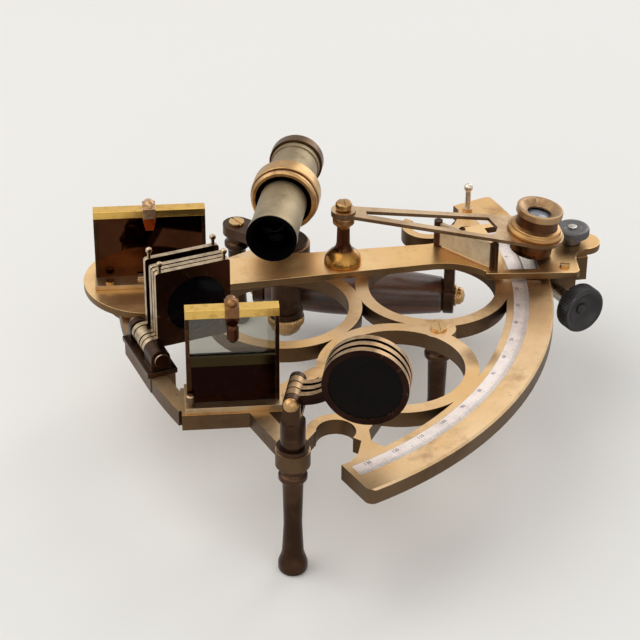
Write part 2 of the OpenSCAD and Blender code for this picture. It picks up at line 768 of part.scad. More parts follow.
module arm_2d() {
    side = plate_out * sin(plate_half);
    difference() {
        union() {
            circle(table_r);
            polygon([[-arm_wide, -table_r + 6], [-arm_narrow, -flare_at], [-arm_narrow, -plate_in],
                [arm_narrow, -plate_in], [arm_narrow, -flare_at], [arm_wide, -table_r + 6]]);
            difference() {
                translate([-plate_in * sin(plate_half), -plate_in]) square([2 * plate_in * sin(plate_half), plate_in - flare_at]);
                for (s = [-1, 1]) translate([s * flare_x, -flare_at]) circle(flare_r);
            }
            plate_2d();
            difference() {
                translate([-scoop_x, -tongue_at]) square([2 * scoop_x, tongue_at - plate_out + 3]);
                for (s = [-1, 1]) translate([s * scoop_x, -tongue_at]) circle(scoop_r);
            }
            translate([0, -tongue_at]) circle(tongue_r);
        }
        sector(window_in, window_out, -window_half, window_half);
    }
}

module plate_2d() {
    cut = asin(plate_corner / (plate_out - plate_corner));
    sector(plate_in - 0.5, plate_out, -(plate_half - cut), plate_half - cut);
    sector(plate_in - 0.5, plate_out - plate_corner, -plate_half, plate_half);
    for (side = [-1, 1])
        translate(polar(plate_out - plate_corner, side * (plate_half - cut))) circle(plate_corner);
}

module index_arm() color(brass) on_arm() difference() {
    union() {
        slab(arm_lift, arm_top) arm_2d();
        rod(arm_boss_r, gap, arm_lift + 0.1);
    }
    slab(arm_lift - over, vernier_top + fit)
        sector(vernier_in - fit, vernier_in + vernier_w + fit, -window_half - 0.5, window_half + 0.5);
    rod(centre_r + fit, 0, arm_top + over);
    translate([0, -clamp_at, 0]) rod(clamp_shaft_r + fit, arm_lift - over, arm_top + over);
}

module pivot_centre() color(steel) on_arm() {
    low = -frame_t - boss_drop - 2 - gap;
    rod(centre_r, low, arm_top);
    rod(bush_r, low - 3, low);
    rod(centre_r, low - 5, low - 3);
}

module vernier() color(silver) on_arm() difference() {
    half = window_half + 0.45;
    slab(0.35, vernier_top) sector(vernier_in, vernier_in + vernier_w, -half, half);
    rotate_extrude($fn = round_fn) polygon([[vernier_in - over, 0.9], [vernier_in - over, vernier_top + over],
        [vernier_in + 4.5, vernier_top + over], [vernier_in + 4.5, vernier_top], [vernier_in, 0.9]]);
}

module on_index_mirror() on_arm() rotate([0, 0, mirror_turn - arm_turn]) children();

module index_mirror_base() color(brass) on_index_mirror() {
    block([-9, 6], [-index_base_half, index_base_half], [arm_top, arm_top + base_t]);
    block([-5, -1.7], [-6, 6], [arm_top + base_t - 0.1, arm_top + base_t + 1.4]);
}

module index_mirror_frame() color(brass) on_index_mirror() {
    half = mirror_t / 2;
    low = arm_top + base_t;
    for (side = [-1, 1]) scale([1, side, 1])
        block([-1.6, 2.6], [index_half, index_half + mirror_post_t], [low, index_top]);
    block([0.6 - rail_half, 0.6 + rail_half], [-index_half - mirror_post_t, index_half + mirror_post_t],
        [index_top, index_top + index_rail_h]);
    block([half, 2.6], [-index_half, index_half], [low, index_top]);
}

module index_mirror_glass() color(clear_glass) on_index_mirror()
    block([-mirror_t / 2, mirror_t / 2], [-index_half, index_half], [arm_top + base_t, index_top]);

module index_mirror_clip() color(tongue_brown) on_index_mirror() translate([0.6, 0, 0])
    mirror_clip(index_top + index_rail_h, 9.2);

module magnifier_post() color(brass) on_arm() translate([0, -post_at, 0]) {
    h = post_h - arm_top;
    translate([0, 0, arm_top]) rotate_extrude() polygon([[0, 0], [8.3, 0], [8.3, 1], [8, 2.4], [7.2, 3.8],
        [5.9, 5.2], [4.4, 6.4], [3.5, 7.8], [3, 9.6], [2.8, h - 6], [3.3, h - 4.6], [4.8, h - 3.4],
        [4.8, h - 0.8], [4.3, h], [0, h]]);
    rod(hinge_pin_r, post_h - 0.1, post_h + gap + hub_t + 1.6);
}

module magnifier_cap_screw() color(bronze) on_arm() translate([0, -post_at, post_h + hub_t + 2 * gap]) difference() {
    rotate_extrude() polygon([[0, 0], [3.2, 0], [3.6, 0.6], [3.6, 2.6], [3, 3.4], [0, 3.6]]);
    rod(hinge_pin_r + fit, -over, 1.4);
    translate([-5, -0.4, 2.9]) cube([10, 0.8, 2]);
}

// The fork's own frame: +X along the fork from the hinge
module on_fork() on_arm() translate([0, -post_at, hub_z]) rotate([0, 0, -90 - fork_turn]) children();

module on_slope() on_fork() rotate([0, fork_slope, 0]) children();

module magnifier_arm() color(pale_brass) difference() {
    union() {
        on_fork() rod(hub_r, -hub_t / 2, hub_t / 2);
        on_slope() slab(-fork_t / 2, fork_t / 2) difference() {
            union() {
                polygon([[2, -4.6], [fork_solid, -fork_end_half], [fork_l, -eye_plate_r],
                    [fork_l, eye_plate_r], [fork_solid, fork_end_half], [2, 4.6]]);
                translate([fork_l, 0]) circle(eye_plate_r);
            }
            polygon([[10, -1.5], [fork_solid - 4, 3.2 - fork_end_half], [fork_solid - 1, 0],
                [fork_solid - 4, fork_end_half - 3.2], [10, 1.5]]);
            translate([fork_l, 0]) circle(barrel_r + fit);
        }
    }
    on_fork() rod(hinge_pin_r + fit, -5, 5);
}

module magnifier_barrel() color(black) on_slope() translate([fork_l, 0, 0]) difference() {
    seat = fork_t / 2;
    top = eyecup_h - cup_h;
    rotate_extrude() polygon([[0, -barrel_drop], [barrel_r - 0.5, -barrel_drop], [barrel_r, 0.5 - barrel_drop],
        [barrel_r, seat], [12.2, seat], [12.4, seat + 1.4], [11.3, seat + 1.9], [11.1, seat + 3.2],
        [barrel_r + 0.4, seat + 3.8], [barrel_r + 0.2, top], [0, top]]);
    rod(lens_bore_r, -barrel_drop - over, top + over);
}

module magnifier_eyecup() color(brass) on_slope() translate([fork_l, 0, eyecup_h - cup_h]) rotate_extrude()
    polygon([[5.2, 0], [barrel_r + 1.2, 0], [barrel_r + 1.5, 0.4], [barrel_r + 1.5, cup_h - 0.4],
        [barrel_r + 1.1, cup_h], [barrel_r + 0.3, cup_h], [5.2, 1]]);

module magnifier_lens() color(clear_glass) on_slope() translate([fork_l, 0, eyecup_h - cup_h - 4.6])
    rotate_extrude() polygon([[0, 0], [3.6, 0.6], [lens_bore_r - fit, 2], [lens_bore_r - fit, 3.2],
        [3.6, 4.2], [0, 4.6]]);

module screen_pane(t) {
    way = screen_far - screen_near;
    translate(screen_near) rotate([0, 0, atan2(way.y, way.x)])
        block([0.6, norm(way) - 0.6], [-t / 2, t / 2], [arm_top + 0.8, arm_top + screen_h - 0.8]);
}

module screen_posts() color(bronze) on_arm() difference() {
    for (spot = [screen_near, screen_far]) translate(spot) rod(screen_post_r, arm_top, arm_top + screen_h);
    screen_pane(screen_t + 2 * fit);
}

module screen_glass() color(frosted) on_arm() screen_pane(screen_t);

module arm_screws() color(steel) on_arm() {
    for (a = [-6.4, 6.4]) translate(polar(plate_out - 6, a)) translate([0, 0, arm_top])
        rotate([0, 0, a * 17]) difference() {
            cylinder(r = 2.3, h = 1.2);
            translate([-3, -0.35, 0.6]) cube([6, 0.7, 1]);
        }
    for (side = [-1, 1]) rotate([0, 0, mirror_turn - arm_turn])
        translate([-6.4, side * 18, arm_top + base_t]) cylinder(r = 1.9, h = 1.1);
}

// The tangent screw's own frame: +Z along the screw toward its knob
module on_tangent() on_arm() translate([0, -tangent_at, tangent_z]) rotate([0, 0, 180 + tangent_tilt]) along_x() children();

module clamp_block() color(brass) difference() {
    on_arm() {
        block([-9, 9], [-limb_r - 19.5, -limb_r - 1.7], [-frame_t - 3, arm_lift]);
        block([-9, 9], [-limb_r - 14.7, -limb_r + 8.3], [-14.4, -frame_t - 0.6]);
    }
    on_arm() translate([0, -clamp_at, 0]) rod(clamp_shaft_r + fit, -20, 5);
    on_tangent() rod(tangent_r + fit, -30, 30);
}

module clamp_screw() color(black) on_arm() translate([0, -clamp_at, 0]) {
    rod(clamp_shaft_r, -17, arm_top + gap + 0.1);
    rod(4.2, arm_top + gap, arm_top + 3.7);
    rotate_extrude() polygon([[0, arm_top + 3.6], [6.8, arm_top + 3.6], [clamp_head_r, arm_top + 4.4],
        [clamp_head_r, arm_top + 7], [6.9, arm_top + 7.7], [2, arm_top + 7.7], [2, arm_top + 8.1], [0, arm_top + 8.1]]);
}

module tangent_screw() color(black) on_tangent() {
    inner = tangent_reach - knob_l;
    rod(tangent_r, -16, inner + 0.1);
    rod(3.4, 13, inner + 0.1);
    rod(3.4, -14.5, -12);
    rotate_extrude() polygon([[0, inner], [5, inner], [knob_r - 1, inner + 3.4], [knob_r, inner + 4.4],
        [knob_r, tangent_reach - 0.8], [knob_r - 0.8, tangent_reach], [knob_r - 2.2, tangent_reach],
        [5, tangent_reach - 2], [0, tangent_reach - 2.4]]);
}

module on_scope() on_face() translate([stem_at.x, stem_at.y, 0]) rotate([0, 0, scope_turn]) children();

module scope_line() on_scope() translate([0, 0, scope_z]) along_x() children();

module telescope_tube() color(pale_brass) scope_line() {
    end = scope_back - 5.6;
    bore = scope_r - scope_wall;
    difference() {
        union() {
            rod(scope_r, -scope_front, end);
            rod(scope_r + 0.6, -scope_front, -scope_front + 4);
            rod(scope_r + 0.6, end - 3, end);
        }
        rod(bore, -scope_front - over, end + over);
    }
    difference() {
        rod(bore + 0.1, -scope_front + 9, -scope_front + 10.5);
        rod(bore - 1.4, -scope_front, end);
    }
}

module telescope_collar() color(brass) scope_line() difference() {
    union() {
        rotate_extrude() polygon([[0, -collar_half - 1.6], [collar_r - 1.6, -collar_half - 1.6],
            [collar_r - 0.7, -collar_half - 0.8], [collar_r - 0.7, -collar_half + 0.4],
            [collar_r - 2, -collar_half + 0.6], [collar_r - 2, -collar_half + 1.6], [collar_r - 0.4, -collar_half + 1.8],
            [collar_r, -collar_half + 2.4], [collar_r, collar_half - 1], [collar_r - 1, collar_half], [0, collar_half]]);
        translate([collar_r - 1, 0, 0.5]) along_x() cylinder(r = stem_r + 0.8, h = 3);
    }
    difference() {
        rod(collar_r - 3, -collar_half - 2, -collar_half);
        rod(scope_r + 0.6, -collar_half - 3, collar_half);
    }
    rod(scope_r + fit, -collar_half - 3, collar_half + over);
}

module telescope_stem() color(steel) on_scope() rod(stem_r, -stem_low, stem_top);

module telescope_objective() color(clear_glass) scope_line() translate([0, 0, -scope_front + 5.5]) {
    r = scope_r - scope_wall - fit;
    rotate_extrude() polygon([[0, 0], [5, 0.5], [r, 1.7], [r, 3.5], [0, 3.5]]);
}

module eyepiece_tube() color(pale_brass) scope_line() difference() {
    union() {
        rod(scope_r - scope_wall - fit, scope_back - 36, scope_back - 5);
        rod(scope_r + 1.7, scope_back - 5.3, scope_back);
    }
    rod(scope_r - scope_wall - 1.4, scope_back - 37, scope_back - 3);
    rod(5.5, scope_back - 4, scope_back + over);
}

module eye_lens() color(clear_glass) scope_line() translate([0, 0, scope_back - 5.5])
    cylinder(r = scope_r - scope_wall - 1.45, h = 2.5);

module rising_nut() color(brass) on_scope() difference() {
    top = -socket_l - gap;
    rotate_extrude() polygon([[0, top], [socket_r + 1, top], [socket_r + 1.5, top - 0.6],
        [socket_r + 1.5, top - 3.2], [socket_r + 0.8, top - 4.4], [socket_r - 0.8, top - nut_h], [0, top - nut_h]]);
    rod(stem_r + fit, top - nut_h - over, top + over);
}

frame();
scale_strip();
pivot_bearing();
legs();
frame_screws();
handle();
handle_bracket_top();
handle_bracket_bottom();
handle_rod();
stem_socket();
horizon_mirror_base();
horizon_mirror_frame();
horizon_mirror_glass();
horizon_mirror_clip();
horizon_adjusting_screws();
index_shade_bracket();
index_shade_pin();
horizon_shade_bracket();
horizon_shade_pin();
index_arm();
pivot_centre();
vernier();
index_mirror_base();
index_mirror_frame();
index_mirror_glass();
index_mirror_clip();
magnifier_post();
magnifier_cap_screw();
screen_posts();
screen_glass();
arm_screws();
clamp_block();
magnifier_arm();
magnifier_barrel();
magnifier_eyecup();
magnifier_lens();
clamp_screw();
tangent_screw();
index_shade_1();
index_shade_2();
index_shade_3();
index_shade_4();
index_shade_glass_1();
index_shade_glass_2();
index_shade_glass_3();
index_shade_glass_4();
horizon_shade_1();
horizon_shade_2();
horizon_shade_3();
horizon_shade_glass_1();
horizon_shade_glass_2();
horizon_shade_glass_3();
telescope_tube();
telescope_collar();
telescope_stem();
telescope_objective();
eyepiece_tube();
eye_lens();
rising_nut();
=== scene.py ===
# %% [markdown]
# A marine sextant lies face up on its three legs. Its solids come from the construction
# model, so this lesson is about looks: soft edges, worn lacquer, engraved silver, dark
# glass and knurled knobs. Everything is in metres, with the index arm's pivot on the Z
# axis, the graduated limb toward -Y and the telescope toward +X.

import json
import math

import bpy
from mathutils import Matrix, Vector

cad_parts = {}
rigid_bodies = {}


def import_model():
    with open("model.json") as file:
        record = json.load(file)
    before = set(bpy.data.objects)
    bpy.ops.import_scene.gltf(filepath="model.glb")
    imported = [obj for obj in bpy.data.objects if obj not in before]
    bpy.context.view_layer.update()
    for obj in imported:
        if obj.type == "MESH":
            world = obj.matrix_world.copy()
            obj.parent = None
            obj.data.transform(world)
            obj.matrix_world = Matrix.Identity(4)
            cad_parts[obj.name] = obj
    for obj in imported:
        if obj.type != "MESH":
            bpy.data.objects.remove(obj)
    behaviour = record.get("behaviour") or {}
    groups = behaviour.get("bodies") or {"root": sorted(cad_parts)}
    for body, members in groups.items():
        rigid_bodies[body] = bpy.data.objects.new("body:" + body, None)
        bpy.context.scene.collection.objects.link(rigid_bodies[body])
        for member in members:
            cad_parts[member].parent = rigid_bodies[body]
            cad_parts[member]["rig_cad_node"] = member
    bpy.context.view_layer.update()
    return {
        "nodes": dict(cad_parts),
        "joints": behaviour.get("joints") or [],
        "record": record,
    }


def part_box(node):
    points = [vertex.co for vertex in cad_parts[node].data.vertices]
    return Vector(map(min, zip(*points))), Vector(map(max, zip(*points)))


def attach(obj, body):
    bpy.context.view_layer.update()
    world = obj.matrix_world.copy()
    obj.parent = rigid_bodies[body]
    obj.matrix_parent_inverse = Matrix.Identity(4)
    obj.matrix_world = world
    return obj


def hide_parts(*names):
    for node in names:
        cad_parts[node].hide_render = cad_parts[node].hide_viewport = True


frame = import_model()
MM = 0.001
BODY_OF = {node: body for body, nodes in frame["record"]["behaviour"]["bodies"].items() for node in nodes}
JOINT = {joint["name"]: joint for joint in frame["joints"]}
print("nodes:", len(frame["nodes"]), "joints:", len(JOINT))

# %% [markdown]
# The places that the finishes and the new pieces need are worked out from the model: the
# arm's angle from where its magnifier is hinged, the telescope's line from its front lens,
# the face of the frame from the strip that lies flush in it.

# %% Measure the model
FACE_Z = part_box("scale_strip")[1].z
UP = Vector((0, 0, 1))
magnifier_at = Vector(JOINT["magnifier_swing"]["pos_m"])
clamp_at = Vector(JOINT["clamp_screw_turn"]["pos_m"])
tangent_at = Vector(JOINT["tangent_screw_turn"]["pos_m"])
tangent_axis = Vector(JOINT["tangent_screw_turn"]["axis"])
scope_axis = Vector(JOINT["eyepiece_draw"]["axis"])
index_shade_axis = Vector(JOINT["index_shade_1_fold"]["axis"])
horizon_shade_axis = Vector(JOINT["horizon_shade_1_fold"]["axis"])
ARM_ANGLE = math.atan2(magnifier_at.x, -magnifier_at.y)
MIRROR_TURN = math.radians(20)


def middle(node):
    low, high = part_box(node)
    return (low + high) / 2


def from_pivot(radius, angle, height=0.0):
    """A point at a radius and an angle about the pivot, the angle counted from the limb's middle."""
    return Vector((radius * math.sin(angle), -radius * math.cos(angle), height))


scope_at = middle("telescope_objective")
print("arm angle:", round(math.degrees(ARM_ANGLE), 2), "face height in mm:", round(FACE_Z / MM, 2))

# %% [markdown]
# A pattern in a material is a chain of Math nodes, and a chain is hard to read. Ordinary
# arithmetic reads better. So Wire wraps one output of a node, and its operators add the
# Math nodes: 1 - mask, or height < 0.02, is then written as it is said.

# %% Write shader maths as Python
class Wire:
    """One output of a node. Arithmetic on it adds Math nodes."""

    def __init__(self, finish, socket):
        self.finish = finish
        self.socket = socket

    def maths(self, operation, *values):
        return self.finish.node("ShaderNodeMath", {"operation": operation}, dict(enumerate(values)))

    def __add__(self, other):
        return self.maths("ADD", self, other)

    def __radd__(self, other):
        return self.maths("ADD", other, self)

    def __sub__(self, other):
        return self.maths("SUBTRACT", self, other)

    def __rsub__(self, other):
        return self.maths("SUBTRACT", other, self)

    def __mul__(self, other):
        return self.maths("MULTIPLY", self, other)

    def __rmul__(self, other):
        return self.maths("MULTIPLY", other, self)

    def __truediv__(self, other):
        return self.maths("DIVIDE", self, other)

    def __lt__(self, other):
        return self.maths("LESS_THAN", self, other)

    def __gt__(self, other):
        return self.maths("GREATER_THAN", self, other)

    def __abs__(self):
        return self.maths("ABSOLUTE", self)


print("a Wire adds Math nodes")

# %% [markdown]
# Finish holds a material while it is built. Its node() adds any other node, with the
# settings first and the sockets after. The other methods are the patterns that come back
# in every finish: noise, a soft step, a colour between two colours, coordinates turned to
# a part's own direction, the distance from an axis, and which way the surface looks.

# %% Build a material
class Finish:
    """A material while it is built. The names in values are sockets of its shader."""

    def __init__(self, name, values):
        self.material = bpy.data.materials.new(name)
        self.material.use_nodes = True
        self.tree = self.material.node_tree
        self.shader = self.tree.nodes["Principled BSDF"]
        self.where = self.node("ShaderNodeTexCoord", out="Object")
        self.feed(values)

    def node(self, kind, settings=None, sockets=None, out=0):
        made = self.tree.nodes.new(kind)
        for name, value in (settings or {}).items():
            setattr(made, name, value)
        for key, value in (sockets or {}).items():
            self.join(made.inputs[key], value)
        return Wire(self, made.outputs[out])

    def join(self, socket, value):
        if isinstance(value, Wire):
            self.tree.links.new(value.socket, socket)
        else:
            socket.default_value = value

    def feed(self, values):
        for name, value in values.items():
            self.join(self.shader.inputs[name], value)

    def mix(self, share, first, second):
        """A colour between two colours."""
        return self.node("ShaderNodeMix", {"data_type": "RGBA"}, {0: share, 6: first, 7: second}, out=2)

    def noise(self, where, scale, detail=4, roughness=0.55):
        return self.node("ShaderNodeTexNoise", {}, {"Vector": where, "Scale": scale, "Detail": detail,
                                                    "Roughness": roughness})

    def step(self, value, low, high):
        """0 below low, 1 above high, and smooth between."""
        return self.node("ShaderNodeMapRange", {"interpolation_type": "SMOOTHSTEP"},
                         {"Value": value, "From Min": low, "From Max": high})

    def mapped(self, turn=0.0, scale=(1, 1, 1), place=(0, 0, 0)):
        """Object coordinates seen from a place, turned about Z and then stretched."""
        moved = self.node("ShaderNodeMapping", {"vector_type": "TEXTURE"},
                          {"Vector": self.where, "Location": tuple(place), "Rotation": (0, 0, turn)})
        return self.node("ShaderNodeMapping", {"vector_type": "POINT"}, {"Vector": moved, "Scale": scale})

    def xyz(self, vector=None):
        """The three parts of a vector."""
        first = self.node("ShaderNodeSeparateXYZ", {}, {0: vector or self.where})
        outputs = first.socket.node.outputs
        return [Wire(self, outputs[name]) for name in ("X", "Y", "Z")]

    def vector(self, operation, *values, out="Vector"):
        return self.node("ShaderNodeVectorMath", {"operation": operation}, dict(enumerate(values)), out=out)

    def off_axis(self, point, axis):
        """How far the surface is from a line."""
        across = self.vector("CROSS_PRODUCT", self.vector("SUBTRACT", self.where, tuple(point)), tuple(axis))
        return self.vector("LENGTH", across, out="Value")

    def facing(self, direction):
        """1 where the surface looks along a direction or against it, 0 where it lies along it."""
        normal = self.node("ShaderNodeTexCoord", out="Normal")
        return abs(self.vector("DOT_PRODUCT", normal, tuple(direction), out="Value"))

    def bump(self, height, distance, strength=1.0):
        self.feed({"Normal": self.node("ShaderNodeBump", {}, {"Height": height, "Distance": distance,
                                                             "Strength": strength})})


print("a Finish holds a material")

# %% [markdown]
# Colours are written with the three numbers that a colour picker shows, from 0 to 255. A
# shader works with light, so they are turned into linear shares first.

# %% Write a colour
def rgb(red, green, blue):
    """The linear colour of three sRGB numbers from 0 to 255."""
    def linear(value):
        share = value / 255
        return share / 12.92 if share <= 0.04045 else ((share + 0.055) / 1.055) ** 2.4
    return (linear(red), linear(green), linear(blue), 1.0)


print("a mid brass is", [round(part, 3) for part in rgb(200, 160, 100)])

# %% [markdown]
# Old lacquered brass is never one colour. Where the lacquer holds, it is a warm golden tan. Where it has
# thinned, the metal tarnishes brown in soft clouds and small specks. The brushed grain runs along each part,
# so its pattern is stretched in that direction. Clouds change the colour and the roughness, and only the fine
# grain reaches the bump. The upright sides get a painted shade: they are coloured dark brown and made a
# little rougher, while the upper faces keep the lacquer's colours. A tube is blackened inside, against stray
# light, which is where the surface is near its axis, and the same mask paints shade into the collar's groove.

# %% Brass recipe
# Black for the inside of tubes, and also a painted shade in the collar's groove.
BLACKING_AND_SHADE = rgb(11, 10, 10)
# The dark brown of the painted shade on upright sides.
SIDE_SHADE = rgb(62, 41, 26)


def brass(name, light, deep, brown, roughness=0.28, turn=0.0, grain=(700, 700, 900), cloud=34, stain=0.4,
          sides=0.0, blacking_and_shade=None, golden=None, painted_shadows=()):
    """blacking_and_shade: (point, axis, radius), and a distance along the axis where the front edge is black
    too; it blackens tubes inside and paints shade into a groove. golden: the colour of broad patches.
    painted_shadows: (point, radius) of dark brown patches of painted shadow. sides: how much painted shade
    the upright faces get."""
    finish = Finish(name, {"Metallic": 1.0})
    clouds = finish.noise(finish.where, cloud, 5, 0.6)
    specks = finish.noise(finish.where, 620, 3, 0.6)
    brushed = finish.noise(finish.mapped(turn, grain), 1.0, 3, 0.6)
    stains = finish.step(finish.noise(finish.mapped(place=(0.3, 0.1, 0)), cloud * 2.3, 6, 0.65), 0.50, 0.72)
    tone = finish.mix(finish.step(clouds, 0.36, 0.66), light, deep)
    if golden:
        broad = finish.noise(finish.mapped(place=(0.05, 0.4, 0)), 13, 3, 0.5)
        tone = finish.mix(finish.step(broad, 0.50, 0.66) * 0.7, tone, golden)
    tone = finish.mix(stains * stain, tone, brown)
    # Painted shadow: dark brown patches with ragged edges round the given places.
    for point, radius in painted_shadows:
        away = finish.vector("DISTANCE", finish.where, tuple(point), out="Value") / radius
        painted_shadow = 1 - finish.step(away + (clouds - 0.5) * 2.4, 0.3, 1.2)
        tone = finish.mix(painted_shadow * 0.7, tone, brown)
    tone = finish.mix(finish.step(specks, 0.62, 0.75) * 0.4, tone, brown)
    tone = finish.mix(finish.step(brushed, 0.35, 0.75) * 0.14, tone, light)
    rough = roughness + (brushed - 0.5) * 0.16 + stains * 0.12
    # Painted shade: faces that look sideways are coloured dark brown and made a little rougher.
    if sides:
        upright_shade = 1 - finish.step(finish.facing(UP), 0.3, 0.8)
        tone = finish.mix(upright_shade * (0.88 + 0.12 * clouds) * sides, tone, SIDE_SHADE)
        rough = rough + upright_shade * 0.1
    # Black near the axis: blacking inside a tube, and a painted shade in the collar's groove.
    if blacking_and_shade:
        point, axis, radius, *front = blacking_and_shade
        black_and_shade = finish.off_axis(point, axis) < radius
        if front:
            along = finish.vector("DOT_PRODUCT", finish.vector("SUBTRACT", finish.where, tuple(point)),
                                  tuple(axis), out="Value")
            black_and_shade = black_and_shade.maths("MAXIMUM", black_and_shade, along < front[0])
        tone = finish.mix(black_and_shade, tone, BLACKING_AND_SHADE)
        rough = rough + black_and_shade * 0.3
    finish.feed({"Base Color": tone, "Roughness": rough})
    finish.bump(brushed * 0.6 + specks * 0.4, 0.03 * MM, 0.6)
    return finish.material


print("brass recipe ready")

# %% [markdown]
# Each group of parts gets its own brass from the recipe. The cast frame and the arm have golden patches, and
# the limb has three dark brown patches of painted shadow.
# The arm and the fork are brushed along their length, and the mirrors' bases along their
# own direction. What was turned on a lathe has its grain round it.

# %% Brass finishes
# Three patches of painted shadow on the limb: radius and turn from the arm in mm and degrees, and size in mm.
SHADOW_PATCHES = [(from_pivot(radius * MM, ARM_ANGLE - math.radians(turn), FACE_Z), size * MM)
               for radius, turn, size in ((150, 13, 15), (168, 10, 11), (151, 31, 8))]
LATHE_GRAIN = (300, 300, 3000)
cast_brass = brass("cast_brass", rgb(228, 197, 156), rgb(204, 168, 124), rgb(120, 86, 55), 0.36,
                   cloud=20, stain=0.6, sides=0.95, golden=rgb(215, 170, 106), painted_shadows=SHADOW_PATCHES)
arm_brass = brass("arm_brass", rgb(238, 200, 146), rgb(216, 174, 120), rgb(144, 100, 62), 0.31,
                  turn=ARM_ANGLE, grain=(2400, 50, 900), cloud=22, sides=0.9, golden=rgb(226, 180, 116))
mirror_brass = brass("mirror_brass", rgb(216, 190, 150), rgb(184, 154, 114), rgb(112, 82, 56), 0.34,
                     turn=MIRROR_TURN, grain=(1200, 160, 1200), cloud=40, sides=0.4)
turned_brass = brass("turned_brass", rgb(198, 162, 112), rgb(158, 120, 76), rgb(88, 58, 36), 0.27,
                     grain=LATHE_GRAIN, cloud=60)
eyecup_brass = brass("eyecup_brass", rgb(166, 136, 102), rgb(134, 104, 74), rgb(86, 60, 40), 0.38,
                     grain=LATHE_GRAIN, cloud=60, stain=0.3)
fork_brass = brass("fork_brass", rgb(200, 172, 138), rgb(164, 134, 102), rgb(108, 80, 56), 0.28,
                   turn=ARM_ANGLE, grain=(2600, 60, 1000), cloud=50, sides=0.8)
print("bare places on the frame:", len(SHADOW_PATCHES))

# %% [markdown]
# The telescope's tube was lacquered paler and has gone a greenish grey. It is black inside and on its front
# edge. The groove in the collar round it is painted black too, a painted shade. The magnifier leans with its
# fork, whose two angles give the line through its lenses.

# %% Tubes that are black inside
FORK_SLOPE = math.radians(9.3)
FORK_TURN = math.radians(5.4)
fork_way = ARM_ANGLE - math.radians(90) - FORK_TURN
fork_out = Vector((math.cos(fork_way), math.sin(fork_way), 0))
lens_at = middle("magnifier_lens")
lens_axis = fork_out * math.sin(FORK_SLOPE) + UP * math.cos(FORK_SLOPE)
scope_way = math.atan2(scope_axis.y, scope_axis.x)
TUBE_BLACK = 9.9 * MM
TUBE_FRONT = -6.9 * MM
# Painted shade: the collar is black this near its axis, which darkens its groove.
GROOVE_SHADE = 12.7 * MM
scope_brass = brass("scope_brass", rgb(156, 141, 114), rgb(134, 119, 94), rgb(92, 76, 56), 0.5,
                    turn=scope_way, grain=(120, 3000, 3000), cloud=48, stain=0.35,
                    blacking_and_shade=(scope_at, scope_axis, TUBE_BLACK, TUBE_FRONT))
collar_brass = brass("collar_brass", rgb(196, 160, 112), rgb(164, 126, 82), rgb(96, 66, 42), 0.3,
                     turn=scope_way, grain=(3000, 300, 300), cloud=60, stain=0.5,
                     blacking_and_shade=(scope_at, scope_axis, GROOVE_SHADE))
print("telescope direction:", round(math.degrees(scope_way), 1), "degrees")

# %% [markdown]
# Two tubes have a dark part and a bright part. The eyepiece's tube is pale and its rim is bronzed. The
# magnifier's barrel is coloured dark brown, a painted shade on its brass, and its wide flange is bright. In
# both the distance from the axis tells the parts apart, and nearer the axis both are black inside.

# %% Tubes with a rim of another colour
def rimmed(name, tube, rim, roughness, point, axis, bore, change):
    finish = Finish(name, {"Metallic": 1.0})
    out = finish.off_axis(point, axis)
    clouds = finish.noise(finish.where, 90, 5, 0.6)
    scuffs = finish.noise(finish.where, 300, 5, 0.7)
    inside = out < bore
    tone = finish.mix(finish.step(out, change - 0.1 * MM, change + 0.1 * MM), tube, rim)
    tone = finish.mix(finish.step(clouds, 0.4, 0.8) * 0.35, tone, rgb(96, 68, 42))
    tone = finish.mix(finish.step(scuffs, 0.6, 0.8) * 0.3, tone, rgb(176, 140, 92))
    finish.feed({"Base Color": finish.mix(inside, tone, BLACKING_AND_SHADE),
                 "Roughness": roughness + (scuffs - 0.5) * 0.2 + inside * 0.3})
    finish.bump(scuffs, 0.03 * MM, 0.5)
    return finish.material


eyepiece_brass = rimmed("eyepiece_brass", rgb(180, 164, 132), rgb(92, 70, 48), 0.36, scope_at, scope_axis,
                        bore=8.3 * MM, change=9.8 * MM)
# Painted shade: the barrel's body is dark brown, and its flange keeps the brass colour.
barrel_brass = rimmed("barrel_brass", rgb(78, 50, 32), rgb(172, 132, 84), 0.36, lens_at, lens_axis,
                      bore=7.5 * MM, change=9.6 * MM)
print("magnifier axis leans", round(math.degrees(lens_axis.angle(UP)), 1), "degrees")

# %% [markdown]
# The shade frames, brackets and legs are bronzed: brass darkened by a chemical bath. The
# dark skin is thin, so it is rubbed through to brass on rims and high edges. The faces
# that look along the hinge stay dark and the rims between them show brass, and that
# difference comes from the direction of the surface in the piece's own space.

# %% Bronzed finishes
def bronzed(name, dark, rubbed, axis=None, roughness=0.34, rim=0.75):
    finish = Finish(name, {"Metallic": 1.0})
    clouds = finish.noise(finish.where, 70, 5, 0.6)
    scuffs = finish.noise(finish.where, 240, 5, 0.7)
    tone = finish.mix(finish.step(clouds, 0.35, 0.7), dark, tuple(1.8 * part for part in dark[:3]) + (1,))
    share = finish.step(scuffs, 0.60, 0.78) * 0.3
    if axis is not None:
        edge = 1 - finish.step(finish.facing(axis), 0.55, 0.9)
        share = share + edge * rim * (0.55 + 0.45 * finish.step(scuffs, 0.35, 0.6))
    finish.feed({"Base Color": finish.mix(share, tone, rubbed),
                 "Roughness": roughness + (scuffs - 0.5) * 0.25})
    finish.bump(scuffs, 0.03 * MM, 0.5)
    return finish.material


SILVERY = rgb(212, 190, 158)
TAN = rgb(170, 140, 104)
dark_bronze = bronzed("dark_bronze", rgb(56, 40, 30), rgb(142, 106, 64))
index_shade_bronze = bronzed("index_shade_bronze", rgb(48, 27, 18), SILVERY, index_shade_axis)
horizon_shade_bronze = bronzed("horizon_shade_bronze", rgb(34, 20, 16), TAN, horizon_shade_axis, 0.36, 0.9)
print("bronzed finishes:", dark_bronze.name, index_shade_bronze.name, horizon_shade_bronze.name)

